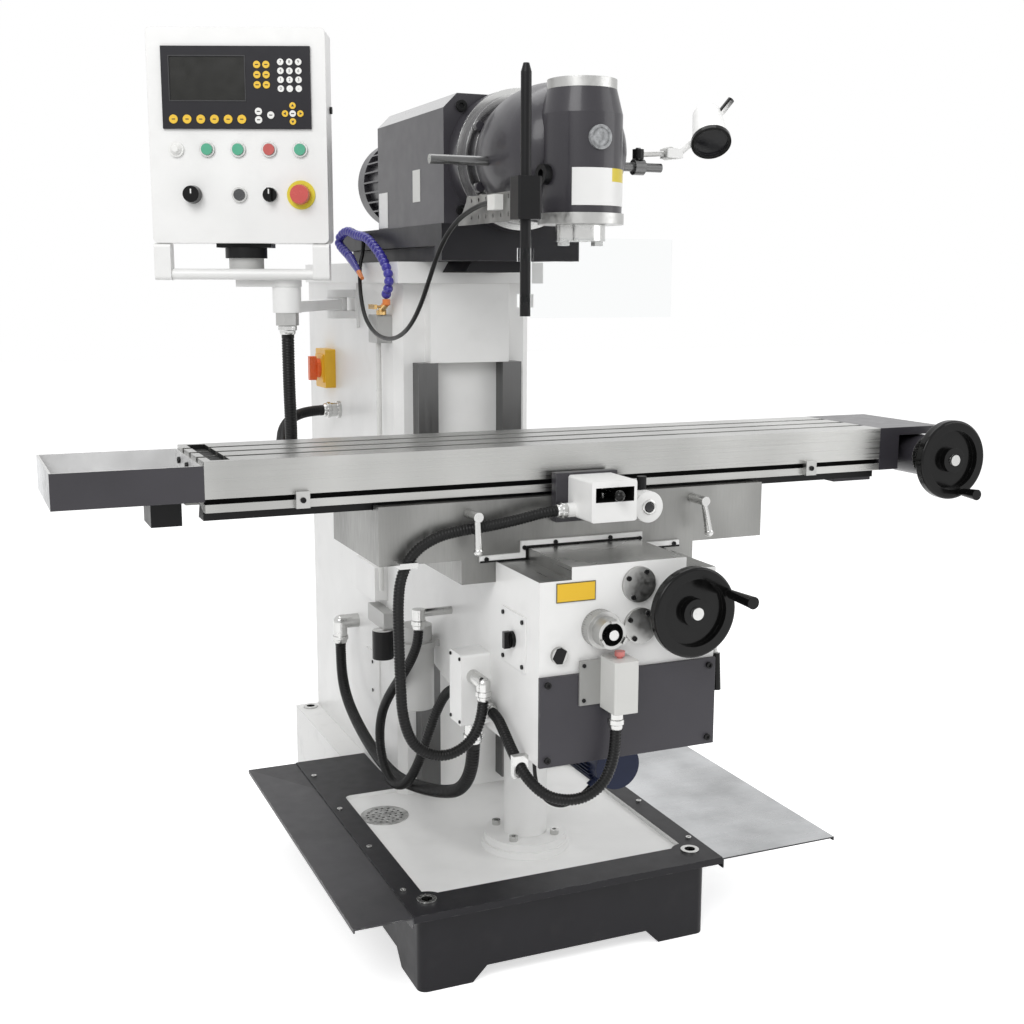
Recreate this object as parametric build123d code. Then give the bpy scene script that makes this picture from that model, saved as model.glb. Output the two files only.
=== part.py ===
from build123d import *
import math
import os

# Knee-type milling machine with a swivelling vertical head.
# Frame: origin on the floor, on the middle plane, halfway between the front and the rear foundation bolts.
# +X runs along the table to the operator's right, +Y from the operator to the column, +Z up.
# Sizes are in millimetres. Cutting bodies run 1 mm past the faces that they open.

# Clearances
SLIDE_GAP = 0.3
RUNNING_FIT = 0.05
CLIP_GAP = 0.7
WIPER_GAP = 0.6

# Base
BASE_WIDTH = 624.0
BASE_FRONT = -635.0
BASE_REAR = 645.0
DECK_HEIGHT = 174.0
DECK_LIP = 30.0
DECK_SIDE_LIP = 21.0
DECK_THICKNESS = 14.0
FLOOR_RECESS = 9.0
FLOOR_THICKNESS = 30.0
RIM_WIDTH = 48.0
BASE_WALL = 32.0
BASE_BOTTOM = 16.0
BASE_CORNER = 18.0
RECESS_CORNER = 14.0
TAIL_WIDTH = 440.0
TAIL_FOOT = 90.0
FOOT_LENGTH = 108.0
FOOT_NOTCH = 30.0
FRONT_BOLT_SPAN = 576.0
REAR_BOLT_SPAN = 376.0
BOLT_SPAN_Y = 1220.0
BOLT_HOLE = 22.0
JACK_DIAMETER = 38.0
JACK_RISE = 4.0
WING_THICKNESS = 3.0
WING_LENGTH = 870.0
WING_FLANGE = 18.0
WING_HEM = 5.0
WING_DROP = 2.0
WING_SCREWS = 4
WING_SCREW_RADIUS = 6.0
WING_SCREW_HEAD = 4.0
WING_SCREW_INSET = 16.0
LEFT_WING_WIDTH = 116.0
RIGHT_WING_WIDTH = 276.0
STRAINER_RADIUS = 53.0
STRAINER_THICKNESS = 6.0
STRAINER_INSET_X = 83.0
STRAINER_INSET_Y = 464.0
STRAINER_RISE = 1.5
STRAINER_HOLE = 3.4
STRAINER_RINGS = ((12.7, 6), (25.4, 12), (38.2, 18))

# Column
COLUMN_WIDTH = 320.0
COLUMN_FRONT = -77.0
COLUMN_REAR = 636.0
COLUMN_TOP = 1371.0
COLUMN_WALL = 28.0
COLUMN_CHAMFER = 18.0
COLLAR_HEIGHT = 45.0
COLLAR_LIP = 8.0
COLLAR_FRONT = -125.0
PAD_WIDTH = 184.0
WAY_FRONT = -116.0
WAY_WIDTH = 45.0
WAY_OUTER = 242.0
WAY_BOTTOM = 190.0
WAY_TOP = 1155.0
PAD_SETBACK = 4.0

# Fittings on the column's left side: places along Y and Z, and how far they stand out
BRACKET_HALF = 32.0
BRACKET_DROP = 40.0
LUG_HEIGHT = 18.0
SWITCH_Y = 440.0
SWITCH_Z = 1114.0
SWITCH_WIDTH = 90.0
SWITCH_HEIGHT = 96.0
SWITCH_DEPTH = 26.0
SWITCH_FACE = 70.0
SWITCH_FACE_DEPTH = 4.0
SWITCH_STEM_RADIUS = 6.0
SWITCH_STEM_DEPTH = 18.0
SWITCH_KNOB_RADIUS = 24.0
SWITCH_KNOB_DEPTH = 8.0
SWITCH_GRIP_WIDTH = 18.0
SWITCH_GRIP_LENGTH = 60.0
UPPER_BOX_SPAN = (0.0, 150.0)
UPPER_BOX_HEIGHTS = (608.0, 690.0)
UPPER_BOX_DEPTH = 30.0
LOWER_BOX_SPAN = (-50.0, 70.0)
LOWER_BOX_HEIGHTS = (552.0, 592.0)
LOWER_BOX_DEPTH = 26.0
BOX_CORNER = 5.0
PUMP_Y = -38.0
PUMP_RADIUS = 24.0
PUMP_HEIGHT = 66.0
SIDE_PLATE_SPAN = (60.0, 160.0)
SIDE_PLATE_HEIGHTS = (340.0, 460.0)
SIDE_PLATE_THICKNESS = 4.0
SIDE_PLATE_INSET = 25.0

# Elevating screw and its pedestal
PEDESTAL_Y = -420.0
TUBE_RADIUS = 45.0
TUBE_BORE = 36.0
TUBE_TOP = 545.0
NUT_HEIGHT = 30.0
PEDESTAL_FLANGE_RADIUS = 86.0
PEDESTAL_FLANGE_HEIGHT = 16.0
PEDESTAL_BOSS_RADIUS = 92.0
PEDESTAL_BOSS_HEIGHT = 14.0
PEDESTAL_BOLT_RADIUS = 9.0
PEDESTAL_BOLT_HEAD = 10.0
LIFT_SCREW_RADIUS = 19.0
LIFT_SCREW_BOTTOM = 300.0
LIFT_TRAVEL = 190.0
TUBE_CLEARANCE = 20.0
LIFT_SCREW_SOCKET = 40.0

# Knee
KNEE_WIDTH = 344.0
KNEE_FRONT = -860.0
KNEE_TOP = 833.0
KNEE_BOTTOM = 508.0
KNEE_REAR_BOTTOM = 600.0
KNEE_NOSE_LENGTH = 300.0
KNEE_WAY_WIDTH = 224.0
KNEE_WAY_HEIGHT = 22.0
FEED_MOTOR_X = 20.0
FEED_MOTOR_RADIUS = 44.0
FEED_MOTOR_FOOT = 6.0
FEED_MOTOR_FOOT_WIDTH = 66.0
FEED_MOTOR_SETBACK = 70.0
FEED_MOTOR_LENGTH = 190.0
FEED_MOTOR_END = 24.0
FEED_MOTOR_FINS = 20
FEED_MOTOR_FIN = 6.0
SIDE_MOTOR_OFFSET = 42.0
SIDE_MOTOR_Y = -350.0
SIDE_MOTOR_RADIUS = 36.0
SIDE_MOTOR_BOTTOM = 470.0
SIDE_MOTOR_LENGTH = 140.0
SIDE_MOTOR_FLANGE = 12.0
SIDE_MOTOR_NECK = 33.0
SIDE_MOTOR_SHELF = 50.0
CHEEK_DEPTH = 30.0
CHEEK_BOTTOM = 640.0
COVER_HEIGHT = 160.0
COVER_THICKNESS = 7.0
COVER_LIP = 1.0
COVER_SCREW_RADIUS = 6.0
COVER_SCREW_HEAD = 4.0
COVER_SCREW_INSET = 13.0
CAP_PLACES = ((16.0, 815.0), (20.0, 741.0))
CAP_PLATE_RADIUS = 32.0
CAP_PLATE_THICKNESS = 6.0
CAP_SCREW_CIRCLE = 25.0
CAP_SCREW_RADIUS = 4.5
CAP_SCREW_HEAD = 3.0
PLUG_PLACE = (-136.0, 704.0)
PLUG_RADIUS = 15.0
PLUG_RISE = 8.0
KNEE_PLATE_SPAN = (-141.0, -67.0)
KNEE_PLATE_HEIGHTS = (795.0, 829.0)
KNEE_PLATE_THICKNESS = 1.5
WHEEL_RADIUS = 80.0
WHEEL_RIM = 20.0
WHEEL_THICKNESS = 22.0
WHEEL_DISH = 12.0
WHEEL_ROUND = 5.0
WHEEL_HUB_RADIUS = 25.0
WHEEL_HUB_RISE = 2.0
WHEEL_HUB_BACK = 14.0
WHEEL_NUT_RADIUS = 11.0
WHEEL_NUT_RISE = 5.0
WHEEL_STANDOFF = 65.0
WHEEL_SHAFT = 14.0
GRIP_PIN_RADIUS = 6.0
GRIP_PIN_LENGTH = 8.0
GRIP_ROOT_RADIUS = 8.0
GRIP_END_RADIUS = 11.0
CROSS_GRIP_ANGLE = 25.0
CROSS_GRIP_LENGTH = 78.0
CROSS_BOSS_RADIUS = 36.0
CROSS_BOSS_LENGTH = 18.0
CROSS_COLLAR_RADIUS = 34.0
CROSS_X = 95.0
CROSS_Z = 770.0
CROSS_SCREW_REAR = -300.0
CRANK_X = -60.0
CRANK_Z = 745.0
CRANK_DIAL_RADIUS = 33.0
CRANK_DIAL_LENGTH = 52.0
CRANK_DIAL_STEP = 24.0
CRANK_SLEEVE_RADIUS = 26.0
CRANK_SLEEVE_BORE = 20.0
CRANK_SLEEVE_DEPTH = 16.0
CRANK_JAW_WIDTH = 12.0
CRANK_JAW_RISE = 8.0
CRANK_SHAFT = 9.0
CRANK_SHAFT_RISE = 6.0
CRANK_SHAFT_DEPTH = 60.0
KNOB_Y = -755.0
KNOB_Z = 710.0
KNOB_STEM_RADIUS = 4.0
KNOB_STEM_DEPTH = 20.0
KNOB_RADIUS = 15.0
KNOB_BASE = 6.0
KNOB_GRIP_WIDTH = 10.0
KNOB_GRIP_RISE = 12.0
KNOB_PLATE_HALF = (52.0, 50.0)
KNOB_PLATE_THICKNESS = 3.0
KNOB_PLATE_SCREW_HALF = (42.0, 40.0)
LEVER_Y = -832.0
LEVER_Z = 702.0
LEVER_STEM_RADIUS = 6.0
LEVER_STEM_DEPTH = 30.0
LEVER_HUB_RADIUS = 9.0
LEVER_HUB_LENGTH = 24.0
LEVER_OFFSET = 18.0
LEVER_ROD_RADIUS = 4.0
LEVER_GRIP_RADIUS = 8.0
LEVER_KNEE = (-8.0, -34.0)
LEVER_TIP = (-14.0, -102.0)
JUNCTION_WIDTH = 58.0
JUNCTION_Y0 = -645.0
JUNCTION_Y1 = -585.0
JUNCTION_Z0 = 520.0
JUNCTION_Z1 = 656.0
GLAND_RADIUS = 13.0
GLAND_LIP = 4.0
GLAND_DROP = 34.0
LEAD_GLAND_RADIUS = 8.0
STOP_BOX_X0 = -60.0
STOP_BOX_X1 = -14.0
STOP_BOX_DEPTH = 58.0
STOP_BOX_CORNER = 4.0
STOP_BOX_Z0 = 606.0
STOP_BOX_Z1 = 698.0
STOP_PLATE_X0 = -100.0
STOP_PLATE_THICKNESS = 4.0
STOP_PLATE_INSET = 6.0
STOP_STEM_RADIUS = 5.0
STOP_STEM_DEPTH = 18.0
STOP_CAP_RADIUS = 9.0
STOP_CAP_HEIGHT = 8.0
STOP_TRAVEL = 3.0
CLIP_WALL = 4.0
CLIP_HALF_LENGTH = 7.0
FITTING_RADIUS = 8.0
FITTING_RISE = 14.0

# Saddle
SADDLE_WIDTH = 784.0
SADDLE_FRONT = -670.0
SADDLE_REAR = -385.0
SADDLE_BOTTOM = 840.0
SADDLE_LIP = 10.0
SADDLE_LEG_HEIGHT = 45.0
SADDLE_LEG_WIDTH = 66.0
DOVETAIL_NARROW = 124.0
DOVETAIL_WIDE = 150.0
DOVETAIL_HEIGHT = 26.0
SADDLE_WALL_GAP = 5.0
LOCK_PLACES = ((-226.0, 925.0), (234.0, 925.0))
LOCK_SHAFT_RADIUS = 7.0
LOCK_SHAFT_DEPTH = 30.0
LOCK_HUB_RADIUS = 9.0
LOCK_HUB_END = 8.0
LOCK_REACH = 44.0
LOCK_LENGTH = 62.0
LOCK_ARM_RADIUS = 5.5
LOCK_ARM_END = 7.5
LOCK_BALL_RADIUS = 8.5
FEED_PLATE_HALF = 62.0
FEED_PLATE_THICKNESS = 20.0
FEED_PLATE_HEIGHTS = (900.0, 990.0)
FEED_BOX_SPAN = (-38.0, 52.0)
FEED_BOX_HEIGHTS = (912.0, 986.0)
FEED_BOX_DEPTH = 95.0
FEED_WINDOW_SPAN = (-30.0, 46.0)
FEED_WINDOW_HEIGHTS = (948.0, 974.0)
FEED_WINDOW_DEPTH = 62.0
FEED_PIVOT_X = 8.0
FEED_PIVOT_SETBACK = 45.0
FEED_PIN_RADIUS = 4.0
FEED_PIN_OVERLAP = 11.0
FEED_LEVER_LENGTH = 62.0
FEED_BALL_RADIUS = 10.0
OILER_X = 104.0
OILER_Z = 925.0
OILER_RADIUS = 29.0
OILER_DEPTH = 66.0
OILER_CAP_Y = 36.0
OILER_CAP_RADIUS = 9.0
OILER_CAP_HEIGHTS = (950.0, 978.0)
HOSE_CLIP_HALF = 17.0
HOSE_CLIP_FRONT = 14.0
HOSE_CLIP_THICKNESS = 10.0
WIPER_THICKNESS = 6.0
WIPER_WIDTH = 12.0
WIPER_SCREW_RADIUS = 4.0
WIPER_SCREW_HEAD = 3.0

# Table
TABLE_LENGTH = 1370.0
TABLE_WIDTH = 254.0
TABLE_TOP = 1038.0
TABLE_FRONT = -655.0
TABLE_FACE = 63.0
TABLE_GROOVE = 9.0
TABLE_GROOVE_DEPTH = 12.0
TABLE_RAIL = 14.0
TABLE_FOOT = 16.0
TABLE_INSET = 20.0
SLOT_NECK = 16.0
SLOT_HEAD = 27.0
SLOT_NECK_DEPTH = 20.0
SLOT_HEAD_DEPTH = 12.0
SLOT_PITCH = 65.0
GUTTER_WIDTH = 32.0
GUTTER_INSET = 14.0
GUTTER_DEPTH = 8.0
TRAY_LENGTH = 242.0
TRAY_HEIGHT = 60.0
TRAY_DROP = 7.0
TRAY_WALL = 4.0
BRACKET_LENGTH = 155.0
BRACKET_BLOCK = 48.0
BRACKET_PLATE = 16.0
BRACKET_RECESS = 70.0
BUSH_RADIUS = 42.0
BUSH_PROUD = 17.0
TRAY_FOOT_SPAN = (24.0, 76.0)
END_FOOT_HALF = 40.0
END_FOOT_DROP = 18.0
END_FOOT_LENGTH = 45.0
DOG_PLACES = (-523.0, 510.0)
DOG_HALF = 12.0
DOG_KEY_HALF = 8.0
DOG_RISE = 6.0
X_WHEEL_OFFSET = 112.0
X_WHEEL_DROP = 60.0
X_WHEEL_STANDOFF = 92.0
X_SHAFT_DEPTH = 80.0
X_COLLAR_RADIUS = 30.0
X_GRIP_ANGLE = -70.0
X_GRIP_LENGTH = 46.0

# Ram, gearbox and head
RAM_WIDTH = 300.0
RAM_NECK_WIDTH = 230.0
RAM_NECK_HEIGHT = 29.0
RAM_FRONT = -340.0
RAM_REAR = 377.0
RAM_TOP = 1443.0
RAM_PLATE = 40.0
RAM_KEY_NARROW = 110.0
RAM_KEY_WIDE = 136.0
RAM_KEY_HEIGHT = 22.0
GEARBOX_WIDTH = 290.0
GEARBOX_REAR = 75.0
GEARBOX_HEIGHT = 247.0
GEARBOX_BEVEL = 28.0
GEARBOX_WALL = 18.0
NAMEPLATE_SPAN = (-203.0, -159.0)
NAMEPLATE_HEIGHTS = (48.0, 112.0)
REAR_PLATE_SPAN = (66.0, 6.0)
REAR_PLATE_HEIGHTS = (2.0, 78.0)
BLANK_THICKNESS = 1.0
GEARBOX_BOLT_RADIUS = 11.0
GEARBOX_BOLT_HEAD = 7.0
GEARBOX_BOLT_INSET = 24.0
GEARBOX_BOLT_SIDE = 36.0
SWIVEL_Z = 1565.0
RING_RADIUS = 135.0
RING_THICKNESS = 45.0
RING_GROOVE_OUTER = 118.0
RING_GROOVE_INNER = 96.0
RING_GROOVE_DEPTH = 22.0
ELBOW_FLANGE_RADIUS = 124.0
ELBOW_FLANGE_LENGTH = 18.0
ELBOW_NECK_RADIUS = 105.0
ELBOW_NECK_LENGTH = 24.0
ELBOW_ROOT_RADIUS = 112.0
ELBOW_CROWN = (126.0, -505.0)
ELBOW_SHOULDER = (119.0, -590.0)
ELBOW_TIP = (68.0, -655.0)
ELBOW_BOLTS = 6
ELBOW_BOLT_RADIUS = 9.0
ELBOW_BOLT_LENGTH = 12.0
ELBOW_BOLT_CIRCLE = 113.5
MOTOR_Z = 1560.0
MOTOR_RADIUS = 92.0
MOTOR_FIN = 12.0
MOTOR_FIN_WIDTH = 4.0
MOTOR_FINS = 28
MOTOR_LENGTH = 300.0
MOTOR_FLANGE = 18.0
MOTOR_FLANGE_LIP = 3.0
MOTOR_COWL = 60.0
MOTOR_COWL_ROUND = 12.0
SPINDLE_Y = -650.0
SPINDLE_SHAFT = 34.0
SPINDLE_SETBACK = 11.0
HEAD_RADIUS = 73.0
HEAD_BOTTOM = 1450.0
HEAD_BODY_HEIGHT = 170.0
HEAD_CONE_HEIGHT = 43.0
CAP_RADIUS = 62.0
CAP_HEIGHT = 17.0
NOSE_FLANGE_RADIUS = 77.0
NOSE_FLANGE_HEIGHT = 19.0
NOSE_RADIUS = 44.44
NOSE_BOTTOM = 1402.0
TAPER_RADIUS = 22.225
TAPER_DEPTH = 68.0
TAPER_RATIO = 7.0 / 24.0
DRAWBAR_RADIUS = 8.5
DRIVE_KEY_WIDTH = 16.0
DRIVE_KEY_DEPTH = 15.8
DRIVE_KEY_RISE = 8.0
SIGHT_Z = 1577.0
SIGHT_RADIUS = 21.0
SIGHT_BORE = 16.0
SIGHT_RISE = 4.0
SIGHT_RECESS = 2.0
HEAD_PLATE_SPAN = (-46.0, 70.0)
HEAD_PLATE_HEIGHTS = (1462.0, 1526.0)
HEAD_PLATE_REAR = 18.0
HEAD_BOLT_ANGLE = 187.0
HEAD_BOLT_Z = 1516.0
HEAD_BOLT_RADIUS = 18.0
HEAD_BOLT_HEAD = 16.0
HEAD_BOLT_SEAT = 4.0
CORE_MARGIN = 60.0

# Guard, hand bars and lamp on the head
HAND_BAR_Y = -515.0
HAND_BAR_Z = 1548.0
HAND_BAR_END = 238.0
HAND_BAR_RADIUS = 8.5
GUARD_X = -158.0
GUARD_BAR_Y = -763.0
GUARD_BAR_RADIUS = 9.0
GUARD_BAR_BOTTOM = 1273.0
GUARD_BAR_TOP = 1684.0
CLAMP_BOTTOM = 1433.0
CLAMP_TOP = 1503.0
CLAMP_SIZE = 42.0
CLAMP_ROUND = 5.0
GUARD_BAR_TAPER = 14.0
GUARD_BAR_TIP = 5.0
GUARD_PLATE_THICKNESS = 6.0
GUARD_PLATE_REAR = -457.0
GUARD_PLATE_SLOPE = 52.0
GUARD_HOLES = 6
GUARD_HOLE_RADIUS = 4.0
GUARD_HOLE_PITCH = 34.0
GUARD_HOLE_START = 70.0
GUARD_SPACERS = (-495.0, -555.0)
GUARD_SPACER_Z = 1476.0
GUARD_SPACER_RADIUS = 10.0
GUARD_SPACER_END = -70.0
CONNECTOR_SPAN = (-674.0, -641.0)
CONNECTOR_HEIGHTS = (1453.0, 1479.0)
CONNECTOR_RISE = 16.0
SHIELD_WIDTH = 270.0
SHIELD_BOTTOM = 1270.0
SHIELD_TOP = 1404.0
SHIELD_THICKNESS = 5.0
KNUCKLE_RADIUS = 14.0
KNUCKLE_HEIGHT = 22.0
KNUCKLE_INSET = 18.0
SHIELD_OVERLAP = 3.0
LAMP_CLAMP_X = 188.0
LAMP_CLAMP_RADIUS = 15.0
LAMP_CLAMP_WIDTH = 22.0
LAMP_POST_HEIGHT = 36.0
LAMP_EYE_RADIUS = 11.0
LAMP_EYE_HEIGHT = 18.0
LAMP_ARM_RADIUS = 5.0
LAMP_KNUCKLE_RADIUS = 12.0
LAMP_KNUCKLE_WIDTH = 20.0
LAMP_EAR_GAP = 13.0
LAMP_EAR_THICKNESS = 5.4
LAMP_EAR_HALF = 9.0
LAMP_EAR_LENGTH = 24.0
LAMP_PIN_RADIUS = 5.0
LAMP_NECK_RADIUS = 8.0
LAMP_LENGTH = 84.0
LAMP_REAR_RADIUS = 28.0
LAMP_BEZEL = 8.0
LAMP_BEZEL_STEP = 3.0
LAMP_GLASS_RADIUS = 33.0
LAMP_GLASS_DEPTH = 6.0
LAMP_NECK_PLACE = 46.0
LAMP_GRIP_PLACE = 60.0
LAMP_GRIP_ROOT = (20.0, -2.0, 12.0)
LAMP_GRIP_REACH = (30.0, 0.0, 34.0)
LAMP_GRIP_RADIUS = 7.0
LAMP_JOINT = (254.0, -515.0, 1576.0)
LAMP_RADIUS = 39.0
LAMP_CENTRE = (334.0, -542.0, 1596.0)
LAMP_AIM = (-0.25, -0.64, -0.72)

# Operator panel, in its own turned frame about the swivel axis
PANEL_AXIS = (-408.0, -125.0)
PANEL_YAW = -23.4
PANEL_OFFSET = 80.0
PANEL_WIDTH = 350.0
PANEL_HEIGHT = 412.0
PANEL_FRONT = -50.0
PANEL_DEPTH = 74.0
PANEL_WALL = 4.0
PANEL_BOTTOM = 1404.0
PANEL_CORNER = 10.0
PANEL_LOCK_DROP = 150.0
READOUT_WIDTH = 291.0
READOUT_HEIGHT = 156.0
READOUT_DROP = 36.0
READOUT_THICKNESS = 6.0
SCREEN_RECESS = 1.5
SCREEN_BOX = (-129.0, 17.0, 56.0, 138.0)
ROW_KEY_RADIUS = 8.5
CLUSTER_KEY_RADIUS = 7.0
PAD_KEY_RADIUS = 6.3
KEY_RISE = 1.6
ROW_KEYS = (-124.0, 26.8, 174.0)
CLUSTER_KEYS = (42.0, 18.0, 71.0, 19.0)
PAD_KEYS = (88.0, 17.5, 66.0, 16.7)
EDIT_KEYS = ((43.0, 159.0), (43.0, 175.0), (67.0, 166.0))
ARROW_CENTRE = (110.0, 163.0)
ARROW_PITCH = 15.0
BUTTON_RADIUS = 11.0
BUTTON_RISE = 9.0
BUTTON_STEM = 22.0
BEZEL_RADIUS = 15.0
BEZEL_RISE = 5.0
LENS_RADIUS = 12.0
STOP_RING_RADIUS = 28.0
STOP_RING_RISE = 3.0
STOP_STANDOFF = 10.0
MUSHROOM_RADIUS = 20.0
MUSHROOM_TIP = 18.0
MUSHROOM_HEIGHT = 16.0
KNOB_STEM = 18.0
SPEED_KNOB_RADIUS = 18.0
SPEED_KNOB_TIP = 16.0
SPEED_KNOB_HEIGHT = 20.0
SELECTOR_RADIUS = 14.0
SELECTOR_BASE = 5.0
SELECTOR_GRIP_WIDTH = 9.0
SELECTOR_GRIP_LENGTH = 26.0
SELECTOR_GRIP_RISE = 12.0
ROW_ONE = 231.0
ROW_TWO = 318.0
COLUMN_PITCH = 61.0
SPEED_INDEX = 5
SELECTOR_INDEX = 7
STOP_INDEX = 8
ARM_PIVOT = (-206.0, 214.0)
ARM_BOTTOM = 1262.0
ARM_TOP = 1292.0
ARM_WIDTH = 34.0
ARM_PIN_RADIUS = 9.0
ARM_EYE_RADIUS = 24.0
BOSS_RADIUS = 29.0
BOSS_BOTTOM = 1266.0
LINK_BOTTOM = 1318.0
LINK_TOP = 1345.0
LINK_PIN_RADIUS = 12.0
ARM_TRIM = 4.0
COLLAR_HEX_RADIUS = 24.0
PANEL_KEY_RADIUS = 7.0
PANEL_KEY_RISE = 5.0
FLANGE_HALF = (55.0, 26.0)
FLANGE_THICKNESS = 8.0
FLANGE_HUB_RADIUS = 42.0
FLANGE_HUB_HEIGHT = 21.0
NECK_RADIUS = 35.0
LINK_HALF = (18.0, 26.0)
LINK_EYE_RADIUS = 30.0
LINK_OVERLAP = 20.0
LINK_PIN_OVERLAP = 10.0
HANDLE_POST = 33.0
HANDLE_DEPTH = 28.0
HANDLE_DROP = 61.0
HANDLE_BAR_RADIUS = 11.0
HANDLE_FOOT = 12.0
HANDLE_ROUND = 8.0

# Hoses and cables: outer radius, then the points of the route from one end to the other
CONDUIT_RADIUS = 10.0
BIG_CONDUIT_RADIUS = 13.0
CABLE_RADIUS = 4.5
ROUTE_A = [(-54, -714, 926), (-92, -714, 926), (-140, -703, 913), (-195, -694, 903), (-246, -692, 899),
           (-294, -692, 891), (-337, -692, 867), (-361, -692, 824), (-366, -692, 773), (-365, -692, 710),
           (-363, -692, 640), (-360, -692, 566), (-337, -692, 508), (-281, -694, 484), (-230, -696, 507),
           (-207, -696, 560), (-207, -696, 602)]
ROUTE_B = [(-205, 240, 472), (-205, 240, 424), (-208, 222, 378), (-212, 184, 345), (-217, 122, 323),
           (-222, 40, 306), (-227, -55, 294), (-230, -155, 286), (-231, -245, 287), (-230, -320, 297),
           (-226, -388, 311), (-220, -452, 326), (-212, -512, 343), (-204, -564, 364), (-198, -600, 400),
           (-195, -617, 448), (-195, -617, 495)]
ROUTE_C = [(-240, -441, 676), (-240, -441, 638), (-248, -428, 600), (-257, -402, 562), (-265, -362, 522),
           (-268, -320, 482), (-268, -282, 440), (-267, -260, 388), (-266, -274, 336), (-263, -320, 302),
           (-257, -376, 312), (-249, -412, 342), (-240, -442, 390), (-229, -459, 444), (-214, -468, 497),
           (-201, -491, 540), (-194, -526, 556), (-194, -562, 556)]
ROUTE_D = [(-42, -896, 591), (-42, -896, 553), (-46, -895, 512), (-64, -892, 470), (-108, -888, 448),
           (-160, -874, 456), (-184, -836, 482), (-187, -786, 511), (-187, -742, 539), (-186, -707, 556),
           (-186, -670, 556)]
ROUTE_E = [(-408, -125, 1240), (-408, -125, 1176), (-407, -122, 1110), (-403, -113, 1040), (-398, -92, 980),
           (-392, -52, 938), (-384, 2, 918), (-374, 66, 913), (-362, 130, 922), (-350, 192, 938),
           (-336, 252, 958), (-318, 306, 982), (-284, 347, 1004), (-234, 366, 1015), (-184, 366, 1015)]
INTERLOCK_ROUTE = [(-171, -641, 1466), (-171, -616, 1466), (-172, -588, 1463), (-175, -552, 1456),
                   (-180, -510, 1443), (-186, -467, 1418), (-192, -432, 1382), (-198, -404, 1338),
                   (-202, -368, 1290), (-205, -318, 1248), (-206, -255, 1222), (-206, -185, 1211),
                   (-206, -115, 1213), (-205, -52, 1226), (-203, 4, 1252), (-197, 50, 1292),
                   (-188, 88, 1334), (-176, 122, 1370), (-160, 146, 1398), (-160, 146, 1424)]
LEAD_ROUTE = [(-138, -768, 496), (-138, -768, 472), (-135, -769, 445), (-126, -770, 420), (-109, -771, 400),
              (-84, -771, 390), (-62, -770, 394), (-43, -769, 405), (-26, -768, 419)]
LEAD_RADIUS = 3.5
COOLANT_ROUTE = [(-182, -85, 1303), (-182, -104, 1336), (-182, -75, 1369), (-182, -12, 1402),
                 (-183, 50, 1424), (-185, 129, 1434), (-187, 205, 1440), (-190, 240, 1424),
                 (-192, 200, 1402), (-193, 140, 1382)]
NOZZLE_TIP = (-193.0, 50.0, 1336.0)
NOZZLE_RADIUS = 4.0
COOLANT_BLOCK_DEPTH = 34.0
COOLANT_BLOCK_SPAN = (30.0, 92.0)
COOLANT_TAIL_OFFSET = 60.0
RISER_OFFSET = 36.0
RISER_RADIUS = 11.0
RISER_HEIGHT = 10.0
NECK_RISE = 26.0
COOLANT_NECK_RADIUS = 7.5
CONNECTOR_RADIUS = 8.5
TAIL_CLIP_Z = 800.0
TAIL_CLIP_HEIGHT = 12.0
TAIL_CLIP_HALF = 8.0
COOLANT_BLOCK_Z0 = 1197.0
COOLANT_BLOCK_Z1 = 1258.0
COOLANT_PIPE_RADIUS = 6.0
COOLANT_TAIL_Z = 640.0
TAP_REACH = 22.0
TAP_STEM_RADIUS = 3.0
TAP_OFFSET = 18.0
TAP_RISE = 18.0
TAP_LEVER_SPAN = (-4.0, 40.0)
TAP_LEVER_HALF = 5.0
TAP_LEVER_THICKNESS = 6.0
BEAD_RADIUS = 10.5
BEAD_PITCH = 16.6
RIB_PITCH = 9.0
RIB_DEPTH = 1.3
CONDUIT_WALL = 2.2

# Derived places
DECK_FRONT = BASE_FRONT - DECK_LIP
DECK_HALF = BASE_WIDTH / 2 + DECK_SIDE_LIP
DECK_REAR = DECK_FRONT + WING_LENGTH
FLOOR_TOP = DECK_HEIGHT - FLOOR_RECESS
COLUMN_HALF = COLUMN_WIDTH / 2
KNEE_HALF = KNEE_WIDTH / 2
KNEE_REAR = WAY_FRONT - SLIDE_GAP
KNEE_WAY_TOP = KNEE_TOP + KNEE_WAY_HEIGHT
COVER_FRONT = KNEE_FRONT - COVER_THICKNESS
SADDLE_HALF = SADDLE_WIDTH / 2
TABLE_REAR = TABLE_FRONT + TABLE_WIDTH
TABLE_MID = (TABLE_FRONT + TABLE_REAR) / 2
TABLE_END = TABLE_LENGTH / 2
GROOVE_TOP = TABLE_TOP - TABLE_FACE
RAIL_TOP = GROOVE_TOP - TABLE_GROOVE
RAIL_BOTTOM = RAIL_TOP - TABLE_RAIL
TABLE_BOTTOM = RAIL_BOTTOM - TABLE_FOOT
SADDLE_DECK = TABLE_BOTTOM - SLIDE_GAP
RAM_BOTTOM = COLUMN_TOP + SLIDE_GAP
RING_FRONT = RAM_FRONT - RING_THICKNESS
ELBOW_REAR = RING_FRONT - SLIDE_GAP
WHEEL_FACE = KNEE_FRONT - WHEEL_STANDOFF
X_WHEEL_X = TABLE_END + X_WHEEL_OFFSET
X_WHEEL_Z = TABLE_TOP - X_WHEEL_DROP
X_WHEEL_FACE = TABLE_FRONT - X_WHEEL_STANDOFF
STOP_X = (STOP_BOX_X0 + STOP_BOX_X1) / 2
STOP_Y = COVER_FRONT - STOP_BOX_DEPTH / 2
FEED_BOX_REAR = SADDLE_FRONT - FEED_PLATE_THICKNESS
FEED_BOX_FRONT = FEED_BOX_REAR - FEED_BOX_DEPTH
FEED_PIVOT_Y = FEED_BOX_REAR - FEED_PIVOT_SETBACK
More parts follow.
